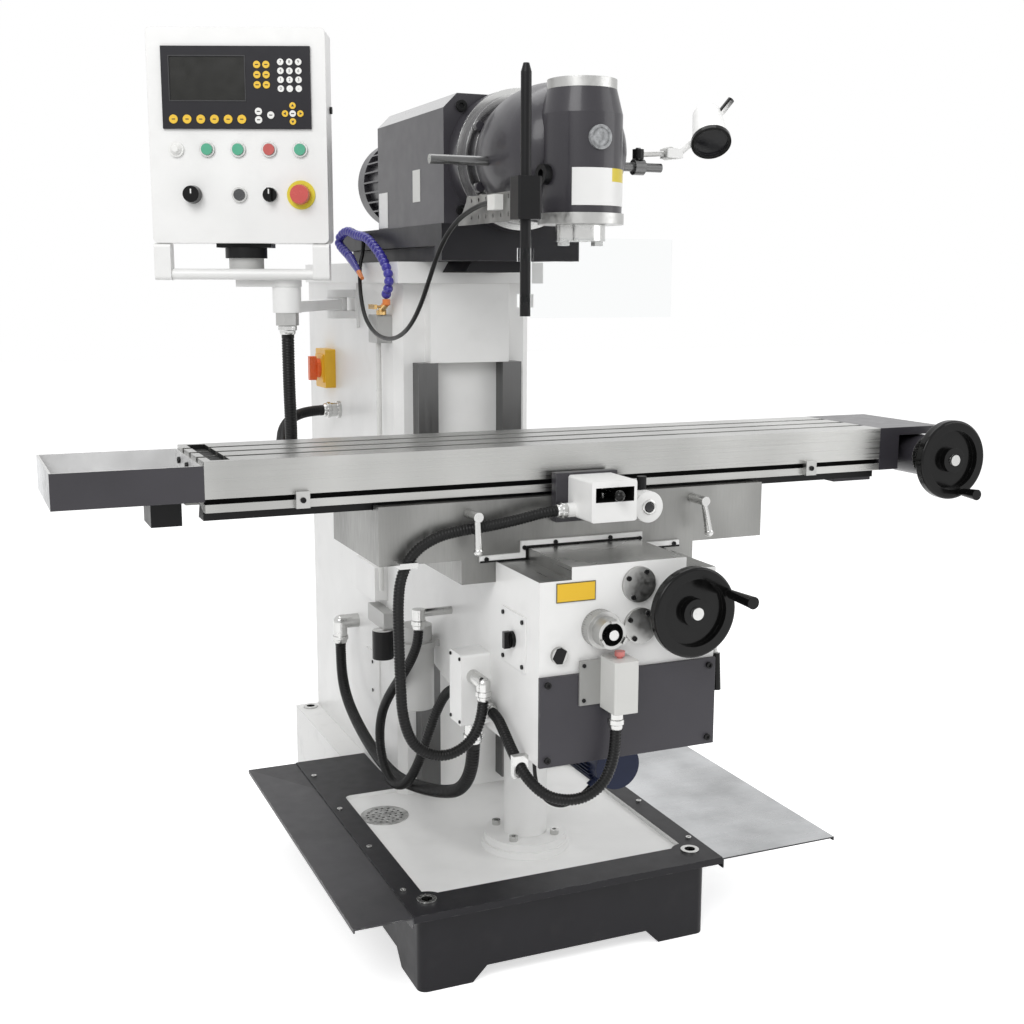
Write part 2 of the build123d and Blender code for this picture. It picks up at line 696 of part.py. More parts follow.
FEED_PIVOT_Z = (FEED_WINDOW_HEIGHTS[0] + FEED_WINDOW_HEIGHTS[1]) / 2
PANEL_TOP = PANEL_BOTTOM + PANEL_HEIGHT
NOSE_TOP = HEAD_BOTTOM - NOSE_FLANGE_HEIGHT
GEARBOX_TOP = RAM_TOP + GEARBOX_HEIGHT
HEAD_SHOULDER = HEAD_BOTTOM + HEAD_BODY_HEIGHT
HEAD_TOP = HEAD_SHOULDER + HEAD_CONE_HEIGHT
SPINDLE_TOP = HEAD_TOP - SPINDLE_SETBACK
TUBE_ROOM_TOP = TUBE_TOP + LIFT_TRAVEL + TUBE_CLEARANCE
LIFT_SCREW_TOP = TUBE_ROOM_TOP + LIFT_SCREW_SOCKET


def span(x0, x1, y0, y1, z0, z1):
    """Box between two corners."""
    return Pos((x0 + x1) / 2, (y0 + y1) / 2, (z0 + z1) / 2) * Box(abs(x1 - x0), abs(y1 - y0), abs(z1 - z0))


def rounded(shape, axis, radius):
    """The shape with its edges along one axis rounded."""
    return fillet(shape.edges().filter_by(axis), radius)


def rod(start, end, radius, end_radius=None):
    """Round bar between two points, or a cone where an end radius is given."""
    a = Vector(*start)
    b = Vector(*end)
    place = Plane(origin=a, z_dir=(b - a).normalized())
    low = (Align.CENTER, Align.CENTER, Align.MIN)
    if end_radius is None:
        return place * Cylinder(radius, (b - a).length, align=low)
    return place * Cone(radius, end_radius, (b - a).length, align=low)


def prism_x(points, x0, x1):
    """Outline in (y, z) carried along X."""
    face = make_face(Polyline(*points, close=True))
    return extrude(Plane.YZ.offset(x0) * face, amount=x1 - x0)


def prism_y(points, y0, y1):
    """Outline in (x, z) carried along Y."""
    face = make_face(Polyline(*points, close=True))
    return extrude(Plane.XZ.offset(-y0) * face, amount=-(y1 - y0))


def prism_z(points, z0, z1):
    """Outline in (x, y) carried along Z."""
    face = make_face(Polyline(*points, close=True))
    return extrude(Plane.XY.offset(z0) * face, amount=z1 - z0)


def trapezoid(middle, narrow, wide, z0, z1):
    """Dovetail outline, narrow at z0 and wide at z1."""
    n = narrow / 2
    w = wide / 2
    return [(middle - n, z0), (middle - w, z1), (middle + w, z1), (middle + n, z0)]


def group(*shapes):
    """Separate solids that share one node."""
    return Compound(children=[solid for shape in shapes for solid in shape.solids()])


def screw_head(point, direction, radius, height):
    """Socket-head screw, seated on its point and standing out along its direction."""
    base = Vector(*point)
    out = Vector(*direction)
    tip = base + out * height
    socket = base + out * (height * 0.4)
    return rod(base, tip, radius) - rod(socket, tip, radius * 0.5)


def route_path(points):
    """Straight runs joined by arcs as large as the runs allow."""
    vectors = [Vector(*p) for p in points]
    radii = []
    for before, at, after in zip(vectors, vectors[1:], vectors[2:]):
        turn = math.radians((at - before).get_angle(after - at))
        shorter = min((at - before).length, (after - at).length)
        radii.append(0.45 * shorter / math.tan(turn / 2))
    print("bend radii", [round(r) for r in radii])
    return FilletPolyline(*vectors, radius=radii)


def plain_tube(points, radius):
    """Round cable along its route."""
    path = route_path(points)
    start = Plane(origin=path @ 0, z_dir=path % 0)
    return sweep(start * Circle(radius), path=path)


def ribbed_tube(points, radius):
    """Corrugated conduit: rings along the route, and a bore. The rings' start line is carried along."""
    path = route_path(points)
    straight = 2 * radius
    count = int((path.length - 2 * straight) / RIB_PITCH)
    pitch = (path.length - 2 * straight) / count
    stations = [(0.0, radius)]
    for i in range(count):
        s = straight + i * pitch
        stations += [(s, radius), (s + 0.2 * pitch, radius - RIB_DEPTH),
                     (s + 0.45 * pitch, radius - RIB_DEPTH), (s + 0.65 * pitch, radius)]
    stations.append((path.length, radius))
    across = Plane(origin=path @ 0, z_dir=path % 0).x_dir
    outer = []
    inner = []
    for s, r in stations:
        t = s / path.length
        along = path % t
        across = (across - along * across.dot(along)).normalized()
        place = Plane(origin=path @ t, x_dir=across, z_dir=along)
        outer.append(place * Circle(r))
        inner.append(place * Circle(radius - RIB_DEPTH - CONDUIT_WALL))
    return loft(outer, ruled=True) - loft(inner[::4] + [inner[-1]], ruled=True)


# Base, deck fittings, wings and pedestal

def bolt_places():
    """Centres of the levelling screws: front pair, then rear pair."""
    front = [(side * FRONT_BOLT_SPAN / 2, -BOLT_SPAN_Y / 2) for side in (-1, 1)]
    rear = [(side * REAR_BOLT_SPAN / 2, BOLT_SPAN_Y / 2) for side in (-1, 1)]
    return front + rear


def strainer_place():
    return (-BASE_WIDTH / 2 + STRAINER_INSET_X, BASE_FRONT + STRAINER_INSET_Y)


def fork_gap(a, b):
    """Outline of the gap under the base between two feet, with sloped ends."""
    return [(a, -1), (a, 0), (a + FOOT_NOTCH, FOOT_NOTCH), (b - FOOT_NOTCH, FOOT_NOTCH), (b, 0), (b, -1)]


def make_base():
    half = BASE_WIDTH / 2
    tail = TAIL_WIDTH / 2
    foot_front = BASE_FRONT + FOOT_LENGTH
    foot_rear = BASE_REAR - FOOT_LENGTH
    body = rounded(span(-half, half, BASE_FRONT, DECK_REAR, 0, DECK_HEIGHT), Axis.Z, BASE_CORNER)
    body += span(-DECK_HALF, DECK_HALF, DECK_FRONT, DECK_REAR, DECK_HEIGHT - DECK_THICKNESS, DECK_HEIGHT)
    body += span(-tail, tail, DECK_REAR - BASE_WALL, BASE_REAR, 0, DECK_HEIGHT)
    inner = half - FOOT_LENGTH
    body -= prism_y(fork_gap(-inner, inner), BASE_FRONT - 1, foot_front + FOOT_NOTCH + 1)
    inner = tail - TAIL_FOOT
    body -= prism_y(fork_gap(-inner, inner), foot_rear - FOOT_NOTCH - 1, BASE_REAR + 1)
    body -= prism_x(fork_gap(foot_front, foot_rear), -half - 1, half + 1)
    low = FOOT_NOTCH + BASE_BOTTOM
    high = FLOOR_TOP - FLOOR_THICKNESS
    hollow_rear = DECK_REAR - BASE_WALL
    body -= span(-half + BASE_WALL, half - BASE_WALL, foot_front, hollow_rear, low, high)
    body -= span(-tail + BASE_WALL, tail - BASE_WALL, hollow_rear - 1, foot_rear, low, high)
    reach = DECK_HALF - RIM_WIDTH
    recess_rear = COLUMN_FRONT + COLUMN_WALL
    recess = span(-reach, reach, BASE_FRONT + RIM_WIDTH, recess_rear, FLOOR_TOP, DECK_HEIGHT + 1)
    recess = rounded(recess, Axis.Z, RECESS_CORNER)
    for x, y in bolt_places():
        recess -= rod((x, y, 0), (x, y, DECK_HEIGHT + 2), JACK_DIAMETER)
    body -= recess
    body -= span(-COLUMN_HALF, COLUMN_HALF, COLUMN_FRONT, COLUMN_REAR, FLOOR_TOP, DECK_HEIGHT + 1)
    for x, y in bolt_places():
        body -= rod((x, y, -1), (x, y, DECK_HEIGHT + 1), JACK_DIAMETER / 2)
    x, y = strainer_place()
    body -= rod((x, y, FLOOR_TOP - STRAINER_THICKNESS), (x, y, FLOOR_TOP + 1), STRAINER_RADIUS)
    body -= rod((0, PEDESTAL_Y, high - 1), (0, PEDESTAL_Y, FLOOR_TOP + 1), TUBE_BORE)
    return body


def make_deck_fittings():
    pieces = []
    jack_top = DECK_HEIGHT + JACK_RISE
    for x, y in bolt_places():
        screw = rod((x, y, 0), (x, y, jack_top), JACK_DIAMETER / 2)
        pieces.append(screw - rod((x, y, -1), (x, y, jack_top + 1), BOLT_HOLE / 2))
    x, y = strainer_place()
    low = FLOOR_TOP - STRAINER_THICKNESS
    high = FLOOR_TOP + STRAINER_RISE
    plate = rod((x, y, low), (x, y, high), STRAINER_RADIUS)
    for ring, count in STRAINER_RINGS:
        for i in range(count):
            a = 2 * math.pi * i / count
            hx = x + ring * math.cos(a)
            hy = y + ring * math.sin(a)
            plate -= rod((hx, hy, low - 1), (hx, hy, high + 1), STRAINER_HOLE)
    pieces.append(plate)
    flange_top = FLOOR_TOP + PEDESTAL_BOSS_HEIGHT + PEDESTAL_FLANGE_HEIGHT
    circle = (TUBE_RADIUS + PEDESTAL_FLANGE_RADIUS) / 2
    for angle in (45, 135, 225, 315):
        a = math.radians(angle)
        seat = (circle * math.cos(a), PEDESTAL_Y + circle * math.sin(a), flange_top)
        pieces.append(screw_head(seat, (0, 0, 1), PEDESTAL_BOLT_RADIUS, PEDESTAL_BOLT_HEAD))
    for i in range(WING_SCREWS):
        y = DECK_FRONT + WING_LENGTH * (i + 0.5) / WING_SCREWS
        for side in (-1, 1):
            seat = (side * (DECK_HALF - WING_SCREW_INSET), y, DECK_HEIGHT)
            pieces.append(screw_head(seat, (0, 0, 1), WING_SCREW_RADIUS, WING_SCREW_HEAD))
    return group(*pieces)


def make_wings():
    top = DECK_HEIGHT - WING_DROP
    low = top - WING_THICKNESS
    wings = []
    for side, width in ((-1, LEFT_WING_WIDTH), (1, RIGHT_WING_WIDTH)):
        inner = side * DECK_HALF
        outer = side * (DECK_HALF + width)
        wing = span(inner, outer, DECK_FRONT, DECK_REAR, low, top)
        wing += span(inner, inner + side * WING_THICKNESS, DECK_FRONT, DECK_REAR, low - WING_FLANGE, low)
        wing += span(outer - side * WING_THICKNESS, outer, DECK_FRONT, DECK_REAR, low - WING_HEM, low)
        wings.append(wing)
    return group(*wings)


def make_pedestal():
    c = (0, PEDESTAL_Y)
    boss_top = FLOOR_TOP + PEDESTAL_BOSS_HEIGHT
    flange_top = boss_top + PEDESTAL_FLANGE_HEIGHT
    body = rod((*c, FLOOR_TOP), (*c, boss_top), PEDESTAL_BOSS_RADIUS)
    body += rod((*c, boss_top), (*c, flange_top), PEDESTAL_FLANGE_RADIUS)
    body += rod((*c, flange_top), (*c, TUBE_TOP), TUBE_RADIUS)
    body -= rod((*c, FLOOR_TOP - 1), (*c, TUBE_TOP - NUT_HEIGHT), TUBE_BORE)
    body -= rod((*c, FLOOR_TOP - 1), (*c, TUBE_TOP + 1), LIFT_SCREW_RADIUS + RUNNING_FIT)
    return body


# Column and what is fixed to it

def make_column():
    half = COLUMN_HALF
    c = COLUMN_CHAMFER
    outline = [(-half, COLUMN_FRONT + c), (-half + c, COLUMN_FRONT), (half - c, COLUMN_FRONT),
               (half, COLUMN_FRONT + c), (half, COLUMN_REAR), (-half, COLUMN_REAR)]
    collar_bottom = COLUMN_TOP - COLLAR_HEIGHT
    body = prism_z(outline, FLOOR_TOP, COLUMN_TOP)
    collar = half + COLLAR_LIP
    body += span(-collar, collar, COLLAR_FRONT, COLUMN_REAR, collar_bottom, COLUMN_TOP)
    body += span(-PAD_WIDTH / 2, PAD_WIDTH / 2, WAY_FRONT + PAD_SETBACK, COLUMN_FRONT, WAY_TOP, collar_bottom)
    w = COLUMN_WALL
    body -= span(-half + w, half - w, COLUMN_FRONT + w, COLUMN_REAR - w, FLOOR_TOP + w, collar_bottom - w)
    key = trapezoid(0, RAM_KEY_WIDE + 2 * SLIDE_GAP, RAM_KEY_NARROW + 2 * SLIDE_GAP,
                    COLUMN_TOP - RAM_KEY_HEIGHT - SLIDE_GAP, COLUMN_TOP + SLIDE_GAP)
    body -= prism_y(key, COLLAR_FRONT - 1, COLUMN_REAR + 1)
    return body


def make_column_ways():
    outer = WAY_OUTER / 2
    inner = outer - WAY_WIDTH
    left = span(-outer, -inner, WAY_FRONT, COLUMN_FRONT, WAY_BOTTOM, WAY_TOP)
    right = span(inner, outer, WAY_FRONT, COLUMN_FRONT, WAY_BOTTOM, WAY_TOP)
    return group(left, right)


def side_box(along, heights, depth):
    """Rounded box on the left side of the column."""
    return rounded(span(-COLUMN_HALF - depth, -COLUMN_HALF, *along, *heights), Axis.X, BOX_CORNER)


def make_arm_bracket():
    side = -COLUMN_HALF
    px, py = ARM_PIVOT
    low = ARM_BOTTOM - LUG_HEIGHT
    high = ARM_TOP + LUG_HEIGHT
    bracket = span(side - COLLAR_LIP, side, py - BRACKET_HALF, py + BRACKET_HALF,
                   ARM_BOTTOM - BRACKET_DROP, COLUMN_TOP - COLLAR_HEIGHT)
    bracket += rod((px, py, low), (px, py, high), ARM_PIN_RADIUS)
    for z0, z1 in ((low, ARM_BOTTOM - SLIDE_GAP), (ARM_TOP + SLIDE_GAP, high)):
        bracket += span(px, side - COLLAR_LIP, py - ARM_EYE_RADIUS, py + ARM_EYE_RADIUS, z0, z1)
        bracket += rod((px, py, z0), (px, py, z1), ARM_EYE_RADIUS)
    return bracket


def make_switch_base():
    base = -COLUMN_HALF - SWITCH_DEPTH
    face = base - SWITCH_FACE_DEPTH
    y = SWITCH_Y
    z = SWITCH_Z
    w = SWITCH_WIDTH / 2
    h = SWITCH_HEIGHT / 2
    f = SWITCH_FACE / 2
    switch = side_box((y - w, y + w), (z - h, z + h), SWITCH_DEPTH)
    switch += rounded(span(face, base, y - f, y + f, z - f, z + f), Axis.X, BOX_CORNER)
    bore_end = face + SWITCH_STEM_DEPTH + 2
    return switch - rod((face - 1, y, z), (bore_end, y, z), SWITCH_STEM_RADIUS + RUNNING_FIT)


def make_column_fittings():
    side = -COLUMN_HALF
    ex, ey, ez = ROUTE_E[-1]
    gland = rod((side, ey, ez), (ex, ey, ez), GLAND_RADIUS + GLAND_LIP)
    gland += rod((side, ey, ez), (side - COLLAR_LIP, ey, ez), GLAND_RADIUS + 2 * GLAND_LIP)
    bx, by, bz = ROUTE_B[0]
    bend = (bx, by, bz + GLAND_DROP)
    elbow = rod((side, by, bz + GLAND_DROP), bend, GLAND_RADIUS + GLAND_LIP)
    elbow += Pos(*bend) * Sphere(GLAND_RADIUS + GLAND_LIP)
    elbow += rod(bend, ROUTE_B[0], GLAND_RADIUS + GLAND_LIP)
    upper_box = side_box(UPPER_BOX_SPAN, UPPER_BOX_HEIGHTS, UPPER_BOX_DEPTH)
    lower_box = side_box(LOWER_BOX_SPAN, LOWER_BOX_HEIGHTS, LOWER_BOX_DEPTH)
    pump_top = (side - PUMP_RADIUS - 1, PUMP_Y, LOWER_BOX_HEIGHTS[0])
    pump = rod(pump_top, (side - PUMP_RADIUS - 1, PUMP_Y, LOWER_BOX_HEIGHTS[0] - PUMP_HEIGHT), PUMP_RADIUS)
    face = side - SIDE_PLATE_THICKNESS
    plate = span(face, side, *SIDE_PLATE_SPAN, *SIDE_PLATE_HEIGHTS)
    y = sum(SIDE_PLATE_SPAN) / 2
    low, high = SIDE_PLATE_HEIGHTS
    screws = [screw_head((face, y, z), (-1, 0, 0), WIPER_SCREW_RADIUS, WIPER_SCREW_HEAD)
              for z in (low + SIDE_PLATE_INSET, high - SIDE_PLATE_INSET)]
    boxes = [upper_box, lower_box, pump]
    return group(make_arm_bracket(), make_switch_base(), gland, elbow, *boxes, plate, *screws)


def make_switch_handle():
    x = -COLUMN_HALF - SWITCH_DEPTH - SWITCH_FACE_DEPTH - SLIDE_GAP
    y = SWITCH_Y
    z = SWITCH_Z
    top = x - SWITCH_KNOB_DEPTH
    w = SWITCH_GRIP_WIDTH / 2
    h = SWITCH_GRIP_LENGTH / 2
    knob = rod((x, y, z), (top, y, z), SWITCH_KNOB_RADIUS)
    knob += rounded(span(top - SWITCH_GRIP_WIDTH, top, y - w, y + w, z - h, z + h), Axis.X, BOX_CORNER)
    return knob + rod((x + SWITCH_STEM_DEPTH, y, z), (x, y, z), SWITCH_STEM_RADIUS)


def make_coolant_pipe():
    side = -COLUMN_HALF
    x, y, z = COOLANT_ROUTE[0]
    y0, y1 = COOLANT_BLOCK_SPAN
    low = COOLANT_BLOCK_Z0
    high = COOLANT_BLOCK_Z1
    block = rounded(span(side - COOLANT_BLOCK_DEPTH, side, y + y0, y + y1, low, high), Axis.X, BOX_CORNER)
    tail_y = y + COOLANT_TAIL_OFFSET
    tail = rod((x, tail_y, COOLANT_TAIL_Z), (x, tail_y, low), COOLANT_PIPE_RADIUS)
    riser_y = y + RISER_OFFSET
    riser = rod((x, riser_y, high), (x, riser_y, high + RISER_HEIGHT), RISER_RADIUS)
    neck = rod((x, riser_y, high + RISER_HEIGHT), (x, y, high + NECK_RISE), COOLANT_NECK_RADIUS)
    top = rod((x, y, high + NECK_RISE - GLAND_LIP), (x, y, z - BEAD_RADIUS - SLIDE_GAP), CONNECTOR_RADIUS)
    body = block + riser + neck + top - tap_room(RUNNING_FIT)
    clip_top = TAIL_CLIP_Z + TAIL_CLIP_HEIGHT
    reach = COOLANT_PIPE_RADIUS + CLIP_WALL
    clip = span(x - reach, side, tail_y - TAIL_CLIP_HALF, tail_y + TAIL_CLIP_HALF, TAIL_CLIP_Z, clip_top)
    clip -= rod((x, tail_y, TAIL_CLIP_Z - 1), (x, tail_y, clip_top + 1), COOLANT_PIPE_RADIUS)
    return group(body, tail, clip)


def tap_room(gap):
    """Stem of the coolant tap, or its bore where a gap is given."""
    x, y, z = COOLANT_ROUTE[0]
    tap_z = COOLANT_BLOCK_Z1 + TAP_RISE
    start = (x - TAP_REACH, y + TAP_OFFSET, tap_z)
    return rod(start, (x - TAP_STEM_RADIUS + gap, y + TAP_OFFSET, tap_z), TAP_STEM_RADIUS + gap)


def make_coolant_tap():
    x, y, z = COOLANT_ROUTE[0]
    tap_z = COOLANT_BLOCK_Z1 + TAP_RISE
    x1 = x - TAP_REACH
    y0, y1 = TAP_LEVER_SPAN
    lever = span(x1 - TAP_LEVER_THICKNESS, x1, y + y0, y + y1, tap_z - TAP_LEVER_HALF, tap_z + TAP_LEVER_HALF)
    return tap_room(0) + lever


def make_coolant_hose():
    """Chain of ball segments, pressed together, with a tapered nozzle."""
    vectors = [Vector(*p) for p in COOLANT_ROUTE]
    path = Spline(*vectors)
    count = int(path.length / BEAD_PITCH)
    chain = Pos(*vectors[0]) * Sphere(BEAD_RADIUS)
    for i in range(1, count + 1):
        chain += Pos(*(path @ (i / count))) * Sphere(BEAD_RADIUS)
    nozzle = rod(vectors[-1], NOZZLE_TIP, BEAD_RADIUS, NOZZLE_RADIUS) - chain
    return group(chain, nozzle)


# Operator panel on its arm

def on_panel(shape):
    """Carry a shape from the panel's own frame to its place on the machine."""
    return Pos(PANEL_AXIS[0], PANEL_AXIS[1], 0) * Rot(0, 0, PANEL_YAW) * shape


def panel_x(offset):
    """Panel X of a point given from the middle of the panel."""
    return offset - PANEL_OFFSET


def make_panel_arm():
    bx, by = PANEL_AXIS
    px, py = ARM_PIVOT
    length = math.hypot(bx - px, by - py)
    angle = math.degrees(math.atan2(by - py, bx - px))
    bar = span(0, length, -ARM_WIDTH / 2, ARM_WIDTH / 2, ARM_BOTTOM + ARM_TRIM, ARM_TOP - ARM_TRIM)
    arm = Pos(px, py, 0) * Rot(0, 0, angle) * bar
    arm += rod((px, py, ARM_BOTTOM), (px, py, ARM_TOP), ARM_EYE_RADIUS)
    arm += rod((bx, by, BOSS_BOTTOM), (bx, by, LINK_BOTTOM - SLIDE_GAP), BOSS_RADIUS)
    arm += rod((bx, by, LINK_BOTTOM - LINK_PIN_OVERLAP), (bx, by, LINK_TOP), LINK_PIN_RADIUS)
    arm -= rod((px, py, ARM_BOTTOM - 1), (px, py, ARM_TOP + 1), ARM_PIN_RADIUS + RUNNING_FIT)
    collar_end = ROUTE_E[0][2]
    hexagon = Plane.XY.offset(collar_end) * Pos(bx, by) * RegularPolygon(COLLAR_HEX_RADIUS, 6)
    return arm + extrude(hexagon, amount=BOSS_BOTTOM - collar_end)


def make_panel_box():
    x0 = panel_x(-PANEL_WIDTH / 2)
    x1 = panel_x(PANEL_WIDTH / 2)
    y1 = PANEL_FRONT + PANEL_DEPTH
    w = PANEL_WALL
    box = rounded(span(x0, x1, PANEL_FRONT, y1, PANEL_BOTTOM, PANEL_TOP), Axis.Y, PANEL_CORNER)
    box -= span(x0 + w, x1 - w, PANEL_FRONT + w, y1 - w, PANEL_BOTTOM + w, PANEL_TOP - w)
    for offset, drop in control_places():
        x = panel_x(offset)
        z = PANEL_TOP - drop
        box -= rod((x, PANEL_FRONT - 1, z), (x, PANEL_FRONT + w + 1, z), BUTTON_RADIUS + RUNNING_FIT)
    lock_z = PANEL_TOP - PANEL_LOCK_DROP
    box += rod((x1, 0, lock_z), (x1 + PANEL_KEY_RISE, 0, lock_z), PANEL_KEY_RADIUS)
    neck_x = panel_x(0)
    fx, fy = FLANGE_HALF
    flange_low = PANEL_BOTTOM - FLANGE_THICKNESS
    hub_low = flange_low - FLANGE_HUB_HEIGHT
    flange = span(neck_x - fx, neck_x + fx, -fy, fy, flange_low, PANEL_BOTTOM)
    flange += rod((neck_x, 0, hub_low), (neck_x, 0, flange_low), FLANGE_HUB_RADIUS)
    neck = rod((neck_x, 0, LINK_TOP), (neck_x, 0, hub_low), NECK_RADIUS)
    front, rear = LINK_HALF
    link = span(neck_x - LINK_OVERLAP, 0, -front, rear, LINK_BOTTOM, LINK_TOP)
    eye_y = (rear - front) / 2
    link += rod((0, eye_y, LINK_BOTTOM), (0, eye_y, LINK_TOP), LINK_EYE_RADIUS)
    link -= rod((0, 0, LINK_BOTTOM - 1), (0, 0, LINK_TOP + 1), LINK_PIN_RADIUS + RUNNING_FIT)
    return on_panel(group(box, flange, neck, link, make_panel_handle(x0, x1)))


def make_panel_handle(x0, x1):
    """U handle under the panel, between the panel's two ends."""
    post = HANDLE_POST
    bar_y = PANEL_FRONT + HANDLE_DEPTH / 2
    bar_z = PANEL_BOTTOM - HANDLE_DROP
    low = bar_z - HANDLE_FOOT
    handle = rod((x0 + post / 2, bar_y, bar_z), (x1 - post / 2, bar_y, bar_z), HANDLE_BAR_RADIUS)
    for a, b in ((x0, x0 + post), (x1 - post, x1)):
        leg = span(a, b, PANEL_FRONT, PANEL_FRONT + HANDLE_DEPTH, low, PANEL_BOTTOM)
        handle += rounded(leg, Axis.X, HANDLE_ROUND)
    return handle


def control_places():
    """Offset from the panel's middle and drop from its top: first row, then second row."""
    first = [(i * COLUMN_PITCH, ROW_ONE) for i in (-2, -1, 0, 1, 2)]
    second = [(-1.5 * COLUMN_PITCH, ROW_TWO)] + [(i * COLUMN_PITCH, ROW_TWO) for i in (0, 1, 2)]
    return first + second


def key_places():
    """Offset from the panel's middle, drop from its top, and radius of every key."""
    x, pitch, drop = ROW_KEYS
    keys = [(x + pitch * i, drop, ROW_KEY_RADIUS) for i in range(6)]
    x, pitch, drop, step = CLUSTER_KEYS
    keys += [(x + pitch * i, drop + step * j, CLUSTER_KEY_RADIUS) for i in range(2) for j in range(3)]
    x, pitch, drop, step = PAD_KEYS
    keys += [(x + pitch * i, drop + step * j, PAD_KEY_RADIUS) for i in range(3) for j in range(4)]
    keys += [(x, drop, CLUSTER_KEY_RADIUS) for x, drop in EDIT_KEYS]
    x, drop = ARROW_CENTRE
    steps = ((0, 0), (-1, 0), (1, 0), (0, -1), (0, 1))
    return keys + [(x + ARROW_PITCH * i, drop + ARROW_PITCH * j, PAD_KEY_RADIUS) for i, j in steps]


def make_readout():
    half = READOUT_WIDTH / 2
    z1 = PANEL_TOP - READOUT_DROP
    z0 = z1 - READOUT_HEIGHT
    face = PANEL_FRONT - READOUT_THICKNESS
    plate = span(panel_x(-half), panel_x(half), face, PANEL_FRONT, z0, z1)
    left, right, top, bottom = SCREEN_BOX
    floor = face + SCREEN_RECESS
    plate -= span(panel_x(left), panel_x(right), face - 1, floor, PANEL_TOP - bottom, PANEL_TOP - top)
    keys = []
    for offset, drop, radius in key_places():
        x = panel_x(offset)
        z = PANEL_TOP - drop
        keys.append(rod((x, face, z), (x, face - KEY_RISE, z), radius))
    return on_panel(group(plate, *keys))


def make_panel_bezels():
    """Collars of the controls. The first carries the lamp's lens, the last is the flat stop ring."""
    bezel_front = PANEL_FRONT - BEZEL_RISE
    solids = []
    for index, (offset, drop) in enumerate(control_places()):
        x = panel_x(offset)
        z = PANEL_TOP - drop
        bore = rod((x, PANEL_FRONT + 1, z), (x, bezel_front - 1, z), BUTTON_RADIUS + RUNNING_FIT)
        ring = rod((x, PANEL_FRONT, z), (x, bezel_front, z), BEZEL_RADIUS)
        if index == 0:
            ring += rod((x, bezel_front, z), (x, bezel_front - BUTTON_RISE, z), LENS_RADIUS, LENS_RADIUS / 2)
        elif index == STOP_INDEX:
            ring = rod((x, PANEL_FRONT, z), (x, PANEL_FRONT - STOP_RING_RISE, z), STOP_RING_RADIUS) - bore
        else:
            ring -= bore
        solids.append(ring)
    return on_panel(group(*solids))


def control_stem(index, depth, front):
    """Round stem of one control, from inside the panel to its front."""
    offset, drop = control_places()[index]
    x = panel_x(offset)
    z = PANEL_TOP - drop
    return rod((x, PANEL_FRONT + depth, z), (x, front, z), BUTTON_RADIUS)


def make_panel_button(index):
    return on_panel(control_stem(index, BUTTON_STEM, PANEL_FRONT - BUTTON_RISE))


def make_speed_knob():
    offset, drop = control_places()[SPEED_INDEX]
    x = panel_x(offset)
    z = PANEL_TOP - drop
    y = PANEL_FRONT - BEZEL_RISE - SLIDE_GAP
    knob = rod((x, y, z), (x, y - SPEED_KNOB_HEIGHT, z), SPEED_KNOB_RADIUS, SPEED_KNOB_TIP)
    return on_panel(knob + control_stem(SPEED_INDEX, KNOB_STEM, y))


def make_selector_knob():
    offset, drop = control_places()[SELECTOR_INDEX]
    x = panel_x(offset)
    z = PANEL_TOP - drop
    y = PANEL_FRONT - BEZEL_RISE - SLIDE_GAP
    base = y - SELECTOR_BASE
    w = SELECTOR_GRIP_WIDTH / 2
    h = SELECTOR_GRIP_LENGTH / 2
    knob = rod((x, y, z), (x, base, z), SELECTOR_RADIUS)
    knob += span(x - w, x + w, base - SELECTOR_GRIP_RISE, base, z - h, z + h)
    return on_panel(knob + control_stem(SELECTOR_INDEX, KNOB_STEM, y))


def make_panel_estop():
    offset, drop = control_places()[STOP_INDEX]
    x = panel_x(offset)
    z = PANEL_TOP - drop
    y = PANEL_FRONT - STOP_RING_RISE - STOP_STANDOFF
    cap = rod((x, y, z), (x, y - MUSHROOM_HEIGHT, z), MUSHROOM_RADIUS, MUSHROOM_TIP)
    return on_panel(cap + control_stem(STOP_INDEX, BUTTON_STEM, y))


# Ram, gearbox, motor and swivel ring

def make_ram():
    half = RAM_WIDTH / 2
    neck = RAM_NECK_WIDTH / 2
    step = RAM_BOTTOM + RAM_NECK_HEIGHT
    body = span(-half, half, RAM_FRONT, RAM_REAR, step, RAM_TOP)
    body += span(-neck, neck, RAM_FRONT, RAM_REAR, RAM_BOTTOM, step)
    body += span(-half, half, RAM_FRONT, RAM_FRONT + RAM_PLATE, RAM_BOTTOM, step)
    key = trapezoid(0, RAM_KEY_WIDE, RAM_KEY_NARROW, COLUMN_TOP - RAM_KEY_HEIGHT, RAM_BOTTOM)
    body += prism_y(key, RAM_FRONT + 2 * RAM_PLATE, RAM_REAR)
    gx, gy, gz = INTERLOCK_ROUTE[-1]
    stub = CABLE_RADIUS + 2
    gland = rod((-half, gy, gz + stub), (gx, gy, gz + stub), stub)
    return body + gland + rod((gx, gy, gz), (gx, gy, gz + 2 * stub), CABLE_RADIUS + 3)


